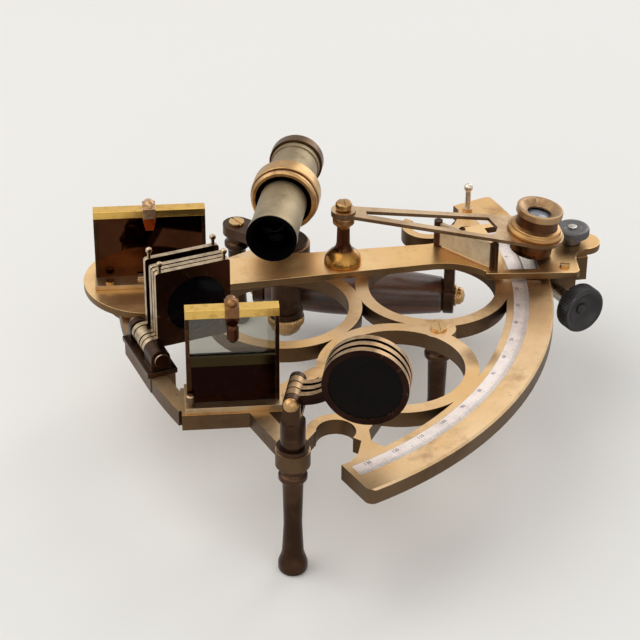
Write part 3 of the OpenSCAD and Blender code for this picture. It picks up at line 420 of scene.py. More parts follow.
# %% [markdown]
# Steel parts are grey and a little scratched. The knobs are blackened, and the skin on
# them is dull, with grey showing where fingers have rubbed it. The wax in engraved figures
# is the same recipe with no metal in it.

# %% Steel, black metal and wax
def scratched(name, base, rubbed, metallic, roughness, least):
    finish = Finish(name, {"Metallic": metallic})
    scuffs = finish.noise(finish.where, 310, 6, 0.7)
    scratches = finish.noise(finish.mapped(0.6, (2700, 150, 900)), 1.0, 2, 0.5)
    tone = finish.mix(finish.step(scuffs, least, least + 0.2), base, rubbed)
    finish.feed({"Base Color": tone, "Roughness": roughness + (scratches - 0.5) * 0.3})
    finish.bump(scratches, 0.02 * MM, 0.5)
    return finish.material


steel = scratched("steel", rgb(184, 180, 172), rgb(136, 128, 116), 1.0, 0.28, 0.5)
black_metal = scratched("black_metal", rgb(40, 38, 38), rgb(104, 100, 98), 0.4, 0.42, 0.6)
grey_metal = scratched("grey_metal", rgb(86, 84, 84), rgb(138, 136, 132), 0.5, 0.36, 0.55)
black_wax = scratched("black_wax", rgb(30, 26, 24), rgb(70, 60, 52), 0.0, 0.6, 0.6)
print("grey and black finishes:", steel.name, black_metal.name, grey_metal.name, black_wax.name)

# %% [markdown]
# Two turned parts change colour along their height. The magnifier's post has a bright bell at its foot and a
# neck coloured dark brown, a painted shade under the fork. The ball stud beside the limb is pale steel above
# its brass collar. Both are one recipe, with a metal of its own below, between and above two heights.

# %% Metal in bands of height
def banded(name, low, high, below, between, above):
    finish = Finish(name, {"Metallic": 1.0})
    _, _, z = finish.xyz()
    scuffs = finish.noise(finish.where, 300, 5, 0.7)
    brushed = finish.noise(finish.mapped(0.0, LATHE_GRAIN), 1.0, 3, 0.6)
    tone = finish.mix(finish.step(z, low - 0.6 * MM, low + 0.6 * MM), below, between)
    tone = finish.mix(finish.step(z, high - 0.6 * MM, high + 0.6 * MM), tone, above)
    tone = finish.mix(finish.step(scuffs, 0.6, 0.85) * 0.1, tone, rgb(120, 86, 52))
    finish.feed({"Base Color": tone, "Roughness": 0.25 + (brushed - 0.5) * 0.14 + scuffs * 0.05})
    finish.bump(brushed, 0.01 * MM, 0.4)
    return finish.material


post_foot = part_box("magnifier_post")[0].z
NECK_LOW = post_foot + 6.2 * MM
NECK_HIGH = post_foot + 18 * MM
STUD_COLLAR = FACE_Z + 2.2 * MM
STUD_STEEL = rgb(206, 192, 176)
# Painted shade: the neck between the two heights is dark brown.
post_brass = banded("post_brass", NECK_LOW, NECK_HIGH, rgb(154, 112, 56), rgb(66, 38, 24), rgb(136, 100, 66))
stud_metal = banded("stud_metal", STUD_COLLAR, STUD_COLLAR + 0.1 * MM, rgb(204, 168, 118), STUD_STEEL,
                    STUD_STEEL)
print("post neck starts at", round(NECK_LOW / MM, 1), "mm")

# %% [markdown]
# The graduated strip is silver let into the brass. Its marks are engraved and filled with
# black wax. A mark is where the angle about the pivot is close to a whole division, and
# its length depends on the division, so the whole scale is three such tests joined. One
# degree of reading is half a degree of arc, because the mirror doubles the angle.

# %% Silver with engraved divisions
HALF_LINE = 0.06 * MM


def engraved(name, marks, edge, inward, base):
    """marks: (divisions of a degree of arc, length in metres), from the edge inward or outward."""
    finish = Finish(name, {})
    x, y, _ = finish.xyz()
    radius = x.maths("SQRT", x * x + y * y)
    angle = x.maths("ARCTAN2", x, y * -1) * (180 / math.pi) - math.degrees(ARM_ANGLE)
    clouds = finish.noise(finish.where, 60, 6, 0.7)
    brushed = finish.noise(finish.where, 1500, 3, 0.7)
    tone = finish.mix(finish.step(clouds, 0.4, 0.75), base, rgb(202, 188, 182))
    tone = finish.mix(finish.step(brushed, 0.6, 0.8) * 0.3, tone, rgb(150, 142, 134))
    depth = (edge - radius) if inward else (radius - edge)
    ink = None
    for divisions, length in marks:
        turns = angle * divisions + 0.5
        offset = (turns.maths("FRACT", turns) - 0.5) / divisions * (math.pi / 180) * radius
        line = (abs(offset) < HALF_LINE) * (depth < length)
        ink = line if ink is None else ink.maths("MAXIMUM", ink, line)
    finish.feed({"Base Color": finish.mix(ink, tone, rgb(34, 30, 28)), "Metallic": 0.85 - ink * 0.8,
                 "Roughness": 0.36 + (brushed - 0.5) * 0.2 + ink * 0.3})
    finish.bump(1 - ink, 0.03 * MM, 0.8)
    return finish.material


def radii(node):
    lengths = [vertex.co.xy.length for vertex in frame["nodes"][node].data.vertices]
    return min(lengths), max(lengths)


strip_inner, strip_outer = radii("scale_strip")
vernier_inner, vernier_outer = radii("vernier")
SCALE_MARKS = [(6, 1.7 * MM), (2, 2.5 * MM), (0.4, 3.3 * MM)]
VERNIER_MARKS = [(5, 1.8 * MM), (1, 2.8 * MM)]
silver_scale = engraved("silver_scale", SCALE_MARKS, strip_outer, True, rgb(238, 226, 220))
silver_vernier = engraved("silver_vernier", VERNIER_MARKS, vernier_inner, False, rgb(226, 220, 208))
print("strip radii in mm:", round(strip_inner / MM, 1), round(strip_outer / MM, 1))

# %% [markdown]
# Glass comes in several kinds. The shades are so dark that they look black in a bright room. A low index of
# refraction keeps the room's white out of them. The telescope's lenses have a cool tint. The reading lens is
# coloured a pale blue-grey and lets only part of the light through, a painted sheen that lifts it out of its
# dark tube. The lenses sit deep in black tubes. The screen that shades the vernier is ground glass, milky and
# rough.

# %% Shade, lens and screen glass
def dark_glass(name, tint):
    finish = Finish(name, {"IOR": 1.16})
    smears = finish.noise(finish.where, 120, 4, 0.6)
    finish.feed({"Base Color": finish.mix(finish.step(smears, 0.4, 0.8) * 0.3, tint, rgb(20, 14, 12)),
                 "Roughness": 0.08 + finish.step(smears, 0.45, 0.8) * 0.14})
    return finish.material


def clear_glass(name, tint, bend, clear):
    finish = Finish(name, {"IOR": bend, "Transmission Weight": clear})
    smears = finish.noise(finish.where, 160, 4, 0.6)
    finish.feed({"Base Color": finish.mix(finish.step(smears, 0.3, 0.8) * 0.2, tint, rgb(150, 150, 150)),
                 "Roughness": 0.02 + finish.step(smears, 0.5, 0.9) * 0.05})
    return finish.material


def ground_glass(name):
    finish = Finish(name, {"Transmission Weight": 0.1, "IOR": 1.45})
    grain = finish.noise(finish.where, 2600, 2, 0.7)
    clouds = finish.noise(finish.where, 130, 5, 0.7)
    tone = finish.mix(finish.step(clouds, 0.35, 0.8), rgb(222, 202, 168), rgb(188, 164, 128))
    finish.feed({"Base Color": tone, "Roughness": 0.55 + (grain - 0.5) * 0.3})
    finish.bump(grain, 0.04 * MM, 0.8)
    return finish.material


# Painted sheen: the reading lens is pale blue-grey and only partly clear.
reading_glass = clear_glass("reading_glass", rgb(150, 158, 172), 1.5, 0.35)
scope_glass = clear_glass("scope_glass", rgb(90, 96, 104), 1.12, 1.0)
screen_frost = ground_glass("screen_frost")
shade_tints = [rgb(9, 5, 4), rgb(5, 7, 5), rgb(10, 5, 4), rgb(6, 5, 8)]
index_glasses = [dark_glass(f"index_shade_tint_{n + 1}", tint) for n, tint in enumerate(shade_tints)]
horizon_glasses = [dark_glass(f"horizon_shade_tint_{n + 1}", tint) for n, tint in enumerate(shade_tints[:3])]
print("glass finishes:", len([reading_glass, scope_glass, screen_frost] + index_glasses + horizon_glasses))

# %% [markdown]
# Both mirrors are silvered behind. Their silver is coloured dark brown, a painted reflection of dark
# surroundings, so they are dim metal with a clean polish and small dead spots. The horizon mirror is silvered
# on its lower half only. Its upper half is clear, so its finish is a mix of two shaders by height.

# %% Mirror glass
def silvered(name, light, deep):
    finish = Finish(name, {"Metallic": 1.0})
    spots = finish.noise(finish.where, 260, 6, 0.75)
    veil = finish.noise(finish.where, 60, 4, 0.6)
    tone = finish.mix(finish.step(veil, 0.4, 0.8) * 0.7, light, deep)
    tone = finish.mix(finish.step(spots, 0.66, 0.76), tone, rgb(30, 20, 14))
    finish.feed({"Base Color": tone, "Roughness": 0.05 + finish.step(veil, 0.5, 0.9) * 0.08})
    return finish


def half_silvered(name, light, deep, height):
    finish = silvered(name, light, deep)
    _, _, z = finish.xyz()
    gloss = finish.node("ShaderNodeBsdfGlossy", {}, {"Color": rgb(255, 250, 240), "Roughness": 0.03},
                        out="BSDF")
    sheet = finish.node("ShaderNodeBsdfTransparent", {}, {"Color": rgb(222, 222, 216)}, out="BSDF")
    window = finish.node("ShaderNodeMixShader", {}, {0: 0.06, 1: sheet, 2: gloss}, out="Shader")
    silver = Wire(finish, finish.shader.outputs["BSDF"])
    mixed = finish.node("ShaderNodeMixShader", {}, {0: z > height, 1: silver, 2: window}, out="Shader")
    finish.join(finish.tree.nodes["Material Output"].inputs["Surface"], mixed)
    return finish.material


mirror_low, mirror_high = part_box("horizon_mirror_glass")
CLEAR_FROM = FACE_Z + 24 * MM
# Painted reflection: both silvers are coloured dark brown.
index_silver = silvered("index_silver", rgb(66, 38, 22), rgb(38, 17, 9)).material
horizon_silver = half_silvered("horizon_silver", rgb(52, 38, 28), rgb(32, 20, 14), CLEAR_FROM)
print("clear above", round((CLEAR_FROM - mirror_low.z) / MM, 1), "mm of the horizon mirror")

# %% [markdown]
# Each mirror's holder is one piece with several looks: a bright top bar that hands have
# polished, over thin bronzed posts and a dark back. The horizon mirror's holder also has a
# plate in front of the silvered half, bronzed nearly black and polished, with an olive band
# along its top. Heights and the mirror's own directions divide the looks, so one recipe
# makes both holders, and adds the plate where it is asked for.

# %% Mirror holders
PLATE_FRONT = 0.9 * MM
PLATE_MARGIN = 1.0 * MM
BAND_HEIGHT = 4.5 * MM
BAR_GRAIN = (2400, 60, 2400)


def holder_metal(name, roughness, posts, yellows, bar_from, plate_on=None):
    """posts, yellows: two colours of the posts and two of the bar. plate_on: the glass behind the plate."""
    finish = Finish(name, {"Metallic": 1.0})
    _, _, z = finish.xyz()
    scuffs = finish.noise(finish.where, 260, 5, 0.7)
    brushed = finish.noise(finish.mapped(MIRROR_TURN, BAR_GRAIN), 1.0, 3, 0.6)
    tone = finish.mix(finish.step(scuffs, 0.4, 0.8), *posts)
    rough = roughness + (brushed - 0.5) * 0.14
    if plate_on:
        x, y, _ = finish.xyz(finish.mapped(MIRROR_TURN, place=middle(plate_on)))
        half = (mirror_high - mirror_low).xy.length / 2
        plate = (x < -PLATE_FRONT) * (abs(y) < half - PLATE_MARGIN) * (z < CLEAR_FROM + 0.2 * MM)
        polished = finish.mix(finish.step(scuffs, 0.5, 0.8) * 0.5, rgb(26, 12, 9), rgb(44, 26, 18))
        tone = finish.mix(plate, tone, polished)
        tone = finish.mix(plate * (z > CLEAR_FROM - BAND_HEIGHT), tone, rgb(54, 44, 26))
        rough = rough - plate * 0.08
    tone = finish.mix(z > bar_from, tone, finish.mix(finish.step(scuffs, 0.45, 0.75), *yellows))
    finish.feed({"Base Color": tone, "Roughness": rough})
    finish.bump(brushed * 0.5 + scuffs * 0.5, 0.02 * MM, 0.5)
    return finish.material


index_glass_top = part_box("index_mirror_glass")[1].z
horizon_holder_metal = holder_metal("horizon_holder_metal", 0.24, (rgb(56, 35, 22), rgb(88, 62, 38)),
                                    (rgb(220, 180, 98), rgb(188, 146, 76)), mirror_high.z - 0.1 * MM,
                                    plate_on="horizon_mirror_glass")
index_holder_metal = holder_metal("index_holder_metal", 0.25, (rgb(52, 34, 22), rgb(76, 52, 32)),
                                  (rgb(220, 178, 96), rgb(192, 150, 80)), index_glass_top - 0.1 * MM)
print("bars start", round(index_glass_top / MM, 1), "and", round(mirror_high.z / MM, 1), "mm up")

# %% [markdown]
# The handle is a dark hardwood, turned and polished. Its grain runs along it: rings seen
# from the side become long streaks, so a noise is squeezed across the handle and drawn
# out along it. Fine pores follow the same direction. The handle lies nearly along Y, and
# drifts a little toward +X on its way to the limb.

# %% Polished wood
handle_low, handle_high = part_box("handle")
HANDLE_DRIFT = 13 * MM
handle_turn = math.atan2(handle_low.y - handle_high.y, HANDLE_DRIFT)


def polished_wood(name, turn):
    finish = Finish(name, {"Coat Weight": 0.35, "Coat Roughness": 0.18})
    streaks = finish.noise(finish.mapped(turn, (22, 260, 260)), 1.0, 6, 0.65)
    pores = finish.noise(finish.mapped(turn, (160, 2400, 2400)), 1.0, 3, 0.6)
    tone = finish.mix(finish.step(streaks, 0.3, 0.7), rgb(46, 24, 15), rgb(96, 54, 32))
    tone = finish.mix(finish.step(pores, 0.58, 0.72) * 0.7, tone, rgb(20, 11, 8))
    finish.feed({"Base Color": tone, "Roughness": 0.32 + finish.step(pores, 0.5, 0.8) * 0.25})
    finish.bump(1 - finish.step(pores, 0.55, 0.75), 0.06 * MM, 0.6)
    return finish.material


handle_wood = polished_wood("handle_wood", handle_turn)
print("handle grain turned", round(math.degrees(handle_turn)), "degrees")

# %% [markdown]
# Each mirror is held by a clip: a spring tongue under a saddle. The index mirror's tongue
# is tempered to an orange brown, and the horizon mirror's clip is darker all over. The
# tongue hangs in front of the glass and below the bar, so a place in the mirror's own
# direction and a height divide the two finishes.

# %% Spring clip finishes
def clip_metal(name, node, tongue, body, below):
    finish = Finish(name, {"Metallic": 1.0})
    scuffs = finish.noise(finish.where, 260, 5, 0.7)
    _, _, z = finish.xyz()
    x, _, _ = finish.xyz(finish.mapped(MIRROR_TURN, place=middle(node)))
    hanging = (x < 0.0) * (z < below)
    brown = finish.mix(finish.step(scuffs, 0.4, 0.7), body, rgb(150, 108, 62))
    finish.feed({"Base Color": finish.mix(hanging, brown, tongue), "Roughness": 0.3 + (scuffs - 0.5) * 0.3})
    finish.bump(scuffs, 0.03 * MM, 0.5)
    return finish.material


index_clip_metal = clip_metal("index_clip_metal", "index_mirror_glass", tongue=rgb(176, 74, 30),
                              body=rgb(196, 166, 134), below=index_glass_top)
horizon_clip_metal = clip_metal("horizon_clip_metal", "horizon_mirror_glass", tongue=rgb(70, 42, 28),
                                body=rgb(116, 82, 56), below=mirror_high.z + 0.5 * MM)
print("clip finishes:", index_clip_metal.name, horizon_clip_metal.name)

# %% [markdown]
# An operator acts on all that is selected, so each step starts by selecting only its own
# piece. Modifiers are added and applied in one go. A finished piece is settled: it gets
# its name and finish, rides on the body of its node, and stands for that node or sits on it.

# %% Helpers for pieces
def deselect():
    if bpy.context.mode != "OBJECT":
        bpy.ops.object.mode_set(mode="OBJECT")
    bpy.ops.object.select_all(action="DESELECT")


def choose(piece):
    deselect()
    piece.select_set(True)
    bpy.context.view_layer.objects.active = piece


def add_modifier(piece, kind, **settings):
    choose(piece)
    modifier = piece.modifiers.new(kind.lower(), kind)
    for name, value in settings.items():
        setattr(modifier, name, value)
    bpy.ops.object.modifier_apply(modifier=modifier.name)


def smooth(piece, degrees=32):
    choose(piece)
    bpy.ops.object.shade_smooth_by_angle(angle=math.radians(degrees))


def wear(piece, *finishes):
    piece.data.materials.clear()
    for finish in finishes:
        piece.data.materials.append(finish)


def settle(piece, name, finish, node, replaces=True):
    """Names a finished piece, dresses it and lets it ride with the node that it stands for or sits on."""
    piece.name = name
    piece.data.name = name
    finishes = finish if isinstance(finish, tuple) else (finish,)
    wear(piece, *finishes)
    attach(piece, BODY_OF[node])
    if replaces:
        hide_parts(node)
    return piece


print("bodies to ride on:", len(set(BODY_OF.values())))

# %% [markdown]
# A construction solid has edges of no width, and nothing gives a render away faster.
# Each metal part is copied, its loose triangles are merged, and a narrow bevel rounds
# every sharp edge, so that it catches a line of light as filed metal does.

# %% Copy a solid and soften its edges
def softened(node, finish, width):
    choose(frame["nodes"][node])
    bpy.ops.object.duplicate()
    piece = bpy.context.view_layer.objects.active
    del piece["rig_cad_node"]
    bpy.ops.object.parent_clear(type="CLEAR")
    bpy.ops.object.mode_set(mode="EDIT")
    bpy.ops.mesh.select_all(action="SELECT")
    bpy.ops.mesh.remove_doubles(threshold=0.002 * MM)
    bpy.ops.mesh.dissolve_limited(angle_limit=math.radians(0.4))
    bpy.ops.object.mode_set(mode="OBJECT")
    add_modifier(piece, "BEVEL", width=width, segments=2, limit_method="ANGLE", angle_limit=math.radians(38),
                 harden_normals=False)
    smooth(piece)
    add_modifier(piece, "WEIGHTED_NORMAL", keep_sharp=True)
    return settle(piece, node + "_metal", finish, node)


print("softening ready")

# %% [markdown]
# Cast parts are rounder than turned and filed ones, and screws are crisp. So each solid
# has its own width of bevel, in millimetres, beside its finish.

# %% Soften the metal parts
SOFT_EDGES = {
    "frame": (cast_brass, 0.45), "pivot_bearing": (turned_brass, 0.3), "legs": (dark_bronze, 0.3),
    "frame_screws": (stud_metal, 0.15), "handle_bracket_top": (dark_bronze, 0.5),
    "handle_bracket_bottom": (dark_bronze, 0.5), "handle_rod": (turned_brass, 0.3),
    "stem_socket": (dark_bronze, 0.3), "horizon_mirror_base": (mirror_brass, 0.25),
    "horizon_mirror_frame": (horizon_holder_metal, 0.25), "horizon_mirror_clip": (horizon_clip_metal, 0.2),
    "horizon_adjusting_screws": (fork_brass, 0.2), "index_shade_bracket": (dark_bronze, 0.3),
    "index_shade_pin": (index_shade_bronze, 0.2), "horizon_shade_bracket": (dark_bronze, 0.3),
    "horizon_shade_pin": (turned_brass, 0.2), "index_arm": (arm_brass, 0.3), "pivot_centre": (steel, 0.3),
    "index_mirror_base": (mirror_brass, 0.25), "index_mirror_frame": (index_holder_metal, 0.25),
    "index_mirror_clip": (index_clip_metal, 0.2), "magnifier_post": (post_brass, 0.3),
    "magnifier_cap_screw": (turned_brass, 0.2), "screen_posts": (dark_bronze, 0.2),
    "arm_screws": (turned_brass, 0.12), "clamp_block": (cast_brass, 0.4),
    "magnifier_arm": (fork_brass, 0.25), "magnifier_eyecup": (eyecup_brass, 0.25),
    "magnifier_barrel": (barrel_brass, 0.25), "telescope_tube": (scope_brass, 0.2),
    "telescope_collar": (collar_brass, 0.35), "telescope_stem": (steel, 0.3),
    "eyepiece_tube": (eyepiece_brass, 0.3), "handle": (handle_wood, 0.4),
}
for shade in range(1, 5):
    SOFT_EDGES[f"index_shade_{shade}"] = (index_shade_bronze, 0.3)
for shade in range(1, 4):
    SOFT_EDGES[f"horizon_shade_{shade}"] = (horizon_shade_bronze, 0.35)
softened_pieces = {node: softened(node, finish, width * MM) for node, (finish, width) in SOFT_EDGES.items()}
print("softened:", len(softened_pieces), "pieces,",
      sum(len(piece.data.polygons) for piece in softened_pieces.values()), "faces")

# %% [markdown]
# The glass and the silver strips keep the construction solids, because their edges are
# held in metal and don't show. They only need their finishes.

# %% Dress the solids that stay
KEPT = {"scale_strip": silver_scale, "vernier": silver_vernier, "index_mirror_glass": index_silver,
        "horizon_mirror_glass": horizon_silver, "magnifier_lens": reading_glass,
        "telescope_objective": scope_glass, "eye_lens": scope_glass, "screen_glass": screen_frost}
for shade, finish in enumerate(index_glasses):
    KEPT[f"index_shade_glass_{shade + 1}"] = finish
for shade, finish in enumerate(horizon_glasses):
    KEPT[f"horizon_shade_glass_{shade + 1}"] = finish
for node, finish in KEPT.items():
    wear(frame["nodes"][node], finish)
print("kept solids:", len(KEPT))

# %% [markdown]
# Four parts are gripped by fingers, so their rims are knurled: the clamp screw, the
# tangent screw, the rising nut and the magnifier's barrel. A lathe makes each of them in
# two steps, and so does this lesson. The first step draws a disc and extrudes it ring by
# ring, with a radius and a height for each ring, which turns the whole profile.

# %% Turn a part
def turned(sides, rings):
    """rings: (radius, height) pairs in millimetres, from the lowest face to the highest."""
    deselect()
    radius, height = rings[0]
    bpy.ops.mesh.primitive_circle_add(vertices=sides, radius=radius * MM, fill_type="NGON",
                                      location=(0, 0, 0))
    piece = bpy.context.active_object
    bpy.ops.object.mode_set(mode="EDIT")
    bpy.ops.mesh.select_all(action="SELECT")
    bpy.ops.transform.translate(value=(0, 0, height * MM))
    for wide, high in rings[1:]:
        bpy.ops.mesh.extrude_region_move(TRANSFORM_OT_translate={"value": (0, 0, (high - height) * MM)})
        bpy.ops.transform.resize(value=(wide / radius, wide / radius, 1), center_override=(0, 0, 0))
        radius, height = wide, high
    bpy.ops.mesh.select_all(action="SELECT")
    bpy.ops.mesh.normals_make_consistent(inside=False)
    bpy.ops.object.mode_set(mode="OBJECT")
    return piece


print("turning ready")

# %% [markdown]
# The second step presses every second edge of the rim toward the axis, which leaves the
# ridges. The helpers beside it select by a test, stand a turned part in its place, and
# give some of its faces a second finish, as where a steel shaft shows in a black knob.

# %% Knurl a part and put it in its place
def choose_where(piece, kind, test):
    """Selects the vertices or faces that pass a test, and stays in edit mode."""
    choose(piece)
    bpy.ops.object.mode_set(mode="EDIT")
    bpy.ops.mesh.select_mode(type="VERT" if kind == "vertices" else "FACE")
    bpy.ops.mesh.select_all(action="DESELECT")
    bpy.ops.object.mode_set(mode="OBJECT")
    for element in getattr(piece.data, kind):
        element.select = test(element)
    bpy.ops.object.mode_set(mode="EDIT")


def knurled(sides, rings, low, high, least, press):
    """A turned part. Every second edge between two heights is pressed in, where it is at least so far out."""
    def ridge(vertex):
        spoke = round(math.atan2(vertex.co.y, vertex.co.x) / math.tau * sides)
        return spoke % 2 == 1 and low * MM < vertex.co.z < high * MM and vertex.co.xy.length > least * MM

    piece = turned(sides, rings)
    choose_where(piece, "vertices", ridge)
    bpy.ops.transform.resize(value=(press, press, 1), center_override=(0, 0, 0))
    bpy.ops.object.mode_set(mode="OBJECT")
    return piece


def stand(piece, point, axis=UP):
    """Turns a part's Z to an axis, puts its origin at a point, and leaves the place in its mesh."""
    turn = UP.rotation_difference(axis).to_matrix().to_4x4()
    piece.matrix_world = Matrix.Translation(point) @ turn
    choose(piece)
    bpy.ops.object.transform_apply(location=True, rotation=True, scale=True)


def second_finish(piece, test):
    """Gives the second of a part's finishes to the faces that pass a test."""
    choose_where(piece, "polygons", test)
    piece.active_material_index = 1
    bpy.ops.object.material_slot_assign()
    bpy.ops.object.mode_set(mode="OBJECT")


print("knurling ready")

# %% [markdown]
# The clamp screw holds the arm on the limb. Its head is a dull dark disc with a fine knurl,
# and the bright end of the steel shaft shows in the middle of it as a pale dot.

# %% Clamp screw
clamp_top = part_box("clamp_screw")[1].z
clamp_rings = [(2.0, -30.0), (2.0, -7.7), (4.2, -7.7), (4.2, -4.5), (6.6, -4.5), (7.4, -4.1), (7.7, -3.6),
               (7.7, -1.2), (7.4, -0.75), (6.8, -0.4), (5.2, -0.5), (2.3, -0.7), (2.0, -0.7), (2.0, -0.1),
               (1.6, 0.0), (0.3, 0.0)]
clamp_screw = knurled(96, clamp_rings, low=-3.9, high=-0.9, least=7.5, press=0.955)
settle(clamp_screw, "clamp_screw_turned", (grey_metal, steel), "clamp_screw")
second_finish(clamp_screw, lambda face: face.center.xy.length < 2.1 * MM)
stand(clamp_screw, Vector((clamp_at.x, clamp_at.y, clamp_top)))
smooth(clamp_screw, 40)
print("clamp screw faces:", len(clamp_screw.data.polygons))

# %% [markdown]
# The tangent screw moves the arm by hair's breadths, so it has the largest knob, to be
# rolled under a fingertip. Its rim is thick and ridged, and its outer face is hollowed
# round a small boss. The bright steel shaft shows between the knob and the arm.

# %% Tangent screw
KNOB_IN, KNOB_OUT = 26.1, 36.7
tangent_rings = [(1.75, -16.0), (1.75, -14.5), (3.4, -14.5), (3.4, -12.0), (1.75, -12.0), (1.75, 13.0),
                 (3.4, 13.0), (3.4, KNOB_IN), (5.0, KNOB_IN), (8.2, KNOB_IN + 1.8), (9.6, KNOB_IN + 3.2),
                 (10.5, KNOB_IN + 3.9), (10.7, KNOB_IN + 4.4), (10.7, KNOB_OUT - 0.9),
                 (10.4, KNOB_OUT - 0.3), (9.9, KNOB_OUT), (8.7, KNOB_OUT), (8.1, KNOB_OUT - 0.5),
                 (6.4, KNOB_OUT - 1.9), (4.4, KNOB_OUT - 2.5), (2.6, KNOB_OUT - 2.6), (2.4, KNOB_OUT - 1.9),
                 (2.0, KNOB_OUT - 1.6), (0.3, KNOB_OUT - 1.5)]
tangent_screw = knurled(120, tangent_rings, low=KNOB_IN + 3.5, high=KNOB_OUT - 0.2, least=10.2, press=0.958)
settle(tangent_screw, "tangent_screw_turned", (black_metal, steel), "tangent_screw")
second_finish(tangent_screw, lambda face: face.center.z < (KNOB_IN - 0.1) * MM)
stand(tangent_screw, tangent_at, tangent_axis)
smooth(tangent_screw, 40)
print("tangent screw reaches", round(KNOB_OUT, 1), "mm along its axis")

# %% [markdown]
# The rising nut lifts the telescope's stem. It is brass, and its knurl is coarser than
# those of the two dark knobs, so it is turned with fewer sides.

# %% Rising nut
nut_low, nut_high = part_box("rising_nut")
nut_rings = [(4.3, -7.7), (6.2, -7.7), (6.8, -6.9), (7.5, -4.6), (8.4, -3.6), (8.55, -3.1), (8.55, -0.8),
             (8.3, -0.3), (7.9, 0.0), (4.3, 0.0)]
rising_nut = knurled(72, nut_rings, low=-3.8, high=-0.2, least=8.0, press=0.95)
stand(rising_nut, Vector(((nut_low.x + nut_high.x) / 2, (nut_low.y + nut_high.y) / 2, nut_high.z)))
smooth(rising_nut, 40)
settle(rising_nut, "rising_nut_turned", turned_brass, "rising_nut")
print("rising nut top at", round(nut_high.z / MM, 1), "mm")

# %% [markdown]
# Below the fork the magnifier's barrel is ribbed, so that it can be drawn up and down to
# focus. The ribs are a sleeve: it is turned as a solid, its two end faces are deleted, and
# the rims that they leave are bridged, which makes the inner wall of an open tube.

# %% Ribbed sleeve of the magnifier
SLEEVE_LOW, SLEEVE_HIGH = -16.2, -8.4
sleeve_rings = [(8.4, SLEEVE_LOW), (9.1, SLEEVE_LOW), (9.35, SLEEVE_LOW + 0.3), (9.35, SLEEVE_HIGH - 0.3),
                (9.1, SLEEVE_HIGH), (8.4, SLEEVE_HIGH)]
sleeve = knurled(64, sleeve_rings, low=SLEEVE_LOW - 0.1, high=SLEEVE_HIGH + 0.1, least=9.0, press=0.965)
choose_where(sleeve, "polygons", lambda face: abs(face.normal.z) > 0.99 and face.center.xy.length < 0.1 * MM)
bpy.ops.mesh.delete(type="FACE")
bpy.ops.mesh.select_mode(type="EDGE")
bpy.ops.mesh.select_non_manifold()
bpy.ops.mesh.bridge_edge_loops()
bpy.ops.mesh.select_all(action="SELECT")
bpy.ops.mesh.normals_make_consistent(inside=False)
bpy.ops.object.mode_set(mode="OBJECT")
stand(sleeve, lens_at, lens_axis)
smooth(sleeve, 40)
sleeve_dark = bronzed("sleeve_dark", rgb(66, 42, 26), rgb(168, 122, 72), None, 0.3)
settle(sleeve, "magnifier_sleeve", sleeve_dark, "magnifier_barrel", replaces=False)
print("sleeve faces:", len(sleeve.data.polygons))

# %% [markdown]
# The scale is numbered every ten degrees of reading, and the vernier at its ends and
# middle. The figures are drawn as text and made a mesh, a hair thick and lying on the
# silver, with their tops toward the pivot, as the navigator reads them.

# %% Figures on the scale and the vernier
def figure(words, size, point, turn):
    deselect()
    bpy.ops.object.text_add(location=(0, 0, 0))
    letters = bpy.context.active_object
    letters.data.body = words
    letters.data.size = size
    letters.data.align_x, letters.data.align_y = "CENTER", "CENTER"
    letters.data.extrude = 0.01 * MM
    letters.data.resolution_u = 3
    choose(letters)
    bpy.ops.object.convert(target="MESH")
    letters = bpy.context.view_layer.objects.active
    letters.matrix_world = Matrix.Translation(point) @ Matrix.Rotation(turn, 4, "Z")
    bpy.ops.object.transform_apply(location=True, rotation=True, scale=True)
    return letters


def joined(pieces, name, finish, node):
    choose(pieces[0])
    for piece in pieces[1:]:
        piece.select_set(True)
    bpy.ops.object.join()
    return settle(bpy.context.view_layer.objects.active, name, finish, node, replaces=False)


INK_RISE = 0.012 * MM
SCALE_FIGURE = 2.3 * MM
VERNIER_FIGURE = 1.5 * MM
VERNIER_DEGREES = 0.62
figures = []
for reading in range(0, 131, 10):
    angle = ARM_ANGLE - math.radians(reading / 2)
    spot = from_pivot(strip_inner + 1.7 * MM, angle, FACE_Z + INK_RISE)
    figures.append(figure(str(reading), SCALE_FIGURE, spot, angle))
scale_figures = joined(figures, "scale_figures", black_wax, "scale_strip")
vernier_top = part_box("vernier")[1].z
marks = []
for minutes in range(0, 11, 5):
    angle = ARM_ANGLE + math.radians(VERNIER_DEGREES * (minutes - 5))
    spot = from_pivot(vernier_outer - 1.0 * MM, angle, vernier_top + INK_RISE)
    marks.append(figure(str(minutes), VERNIER_FIGURE, spot, angle))
vernier_figures = joined(marks, "vernier_figures", black_wax, "vernier")
print("figures:", len(scale_figures.data.polygons), "and", len(vernier_figures.data.polygons), "faces")

# %% [markdown]
# The floor is a plain pale sheet, so large that no edge of it shows. It lies a hair below the feet, because
# two faces in one plane would flicker.

# %% Floor
FLOOR_SIZE = 8
FLOOR_DROP = 0.0002


def studio_floor():
    deselect()
    bpy.ops.mesh.primitive_plane_add(size=FLOOR_SIZE, location=(0, 0, -FLOOR_DROP))
    floor = bpy.context.active_object
    floor.name = "studio_floor"
    finish = Finish("floor_paper", {"Roughness": 0.85, "Base Color": rgb(238, 236, 232)})
    wear(floor, finish.material)
    return floor


print("floor:", studio_floor().name)

# %% [markdown]
# Three large soft lamps light the sextant: a key high on the left of the picture, a cooler
# fill from the camera's right, and a tall strip on the far side, which draws long
# highlights. They are large because polished brass mirrors them, and a small lamp of the
# same power would clip to white in it. Each has a name, a place, a size, watts and a colour.

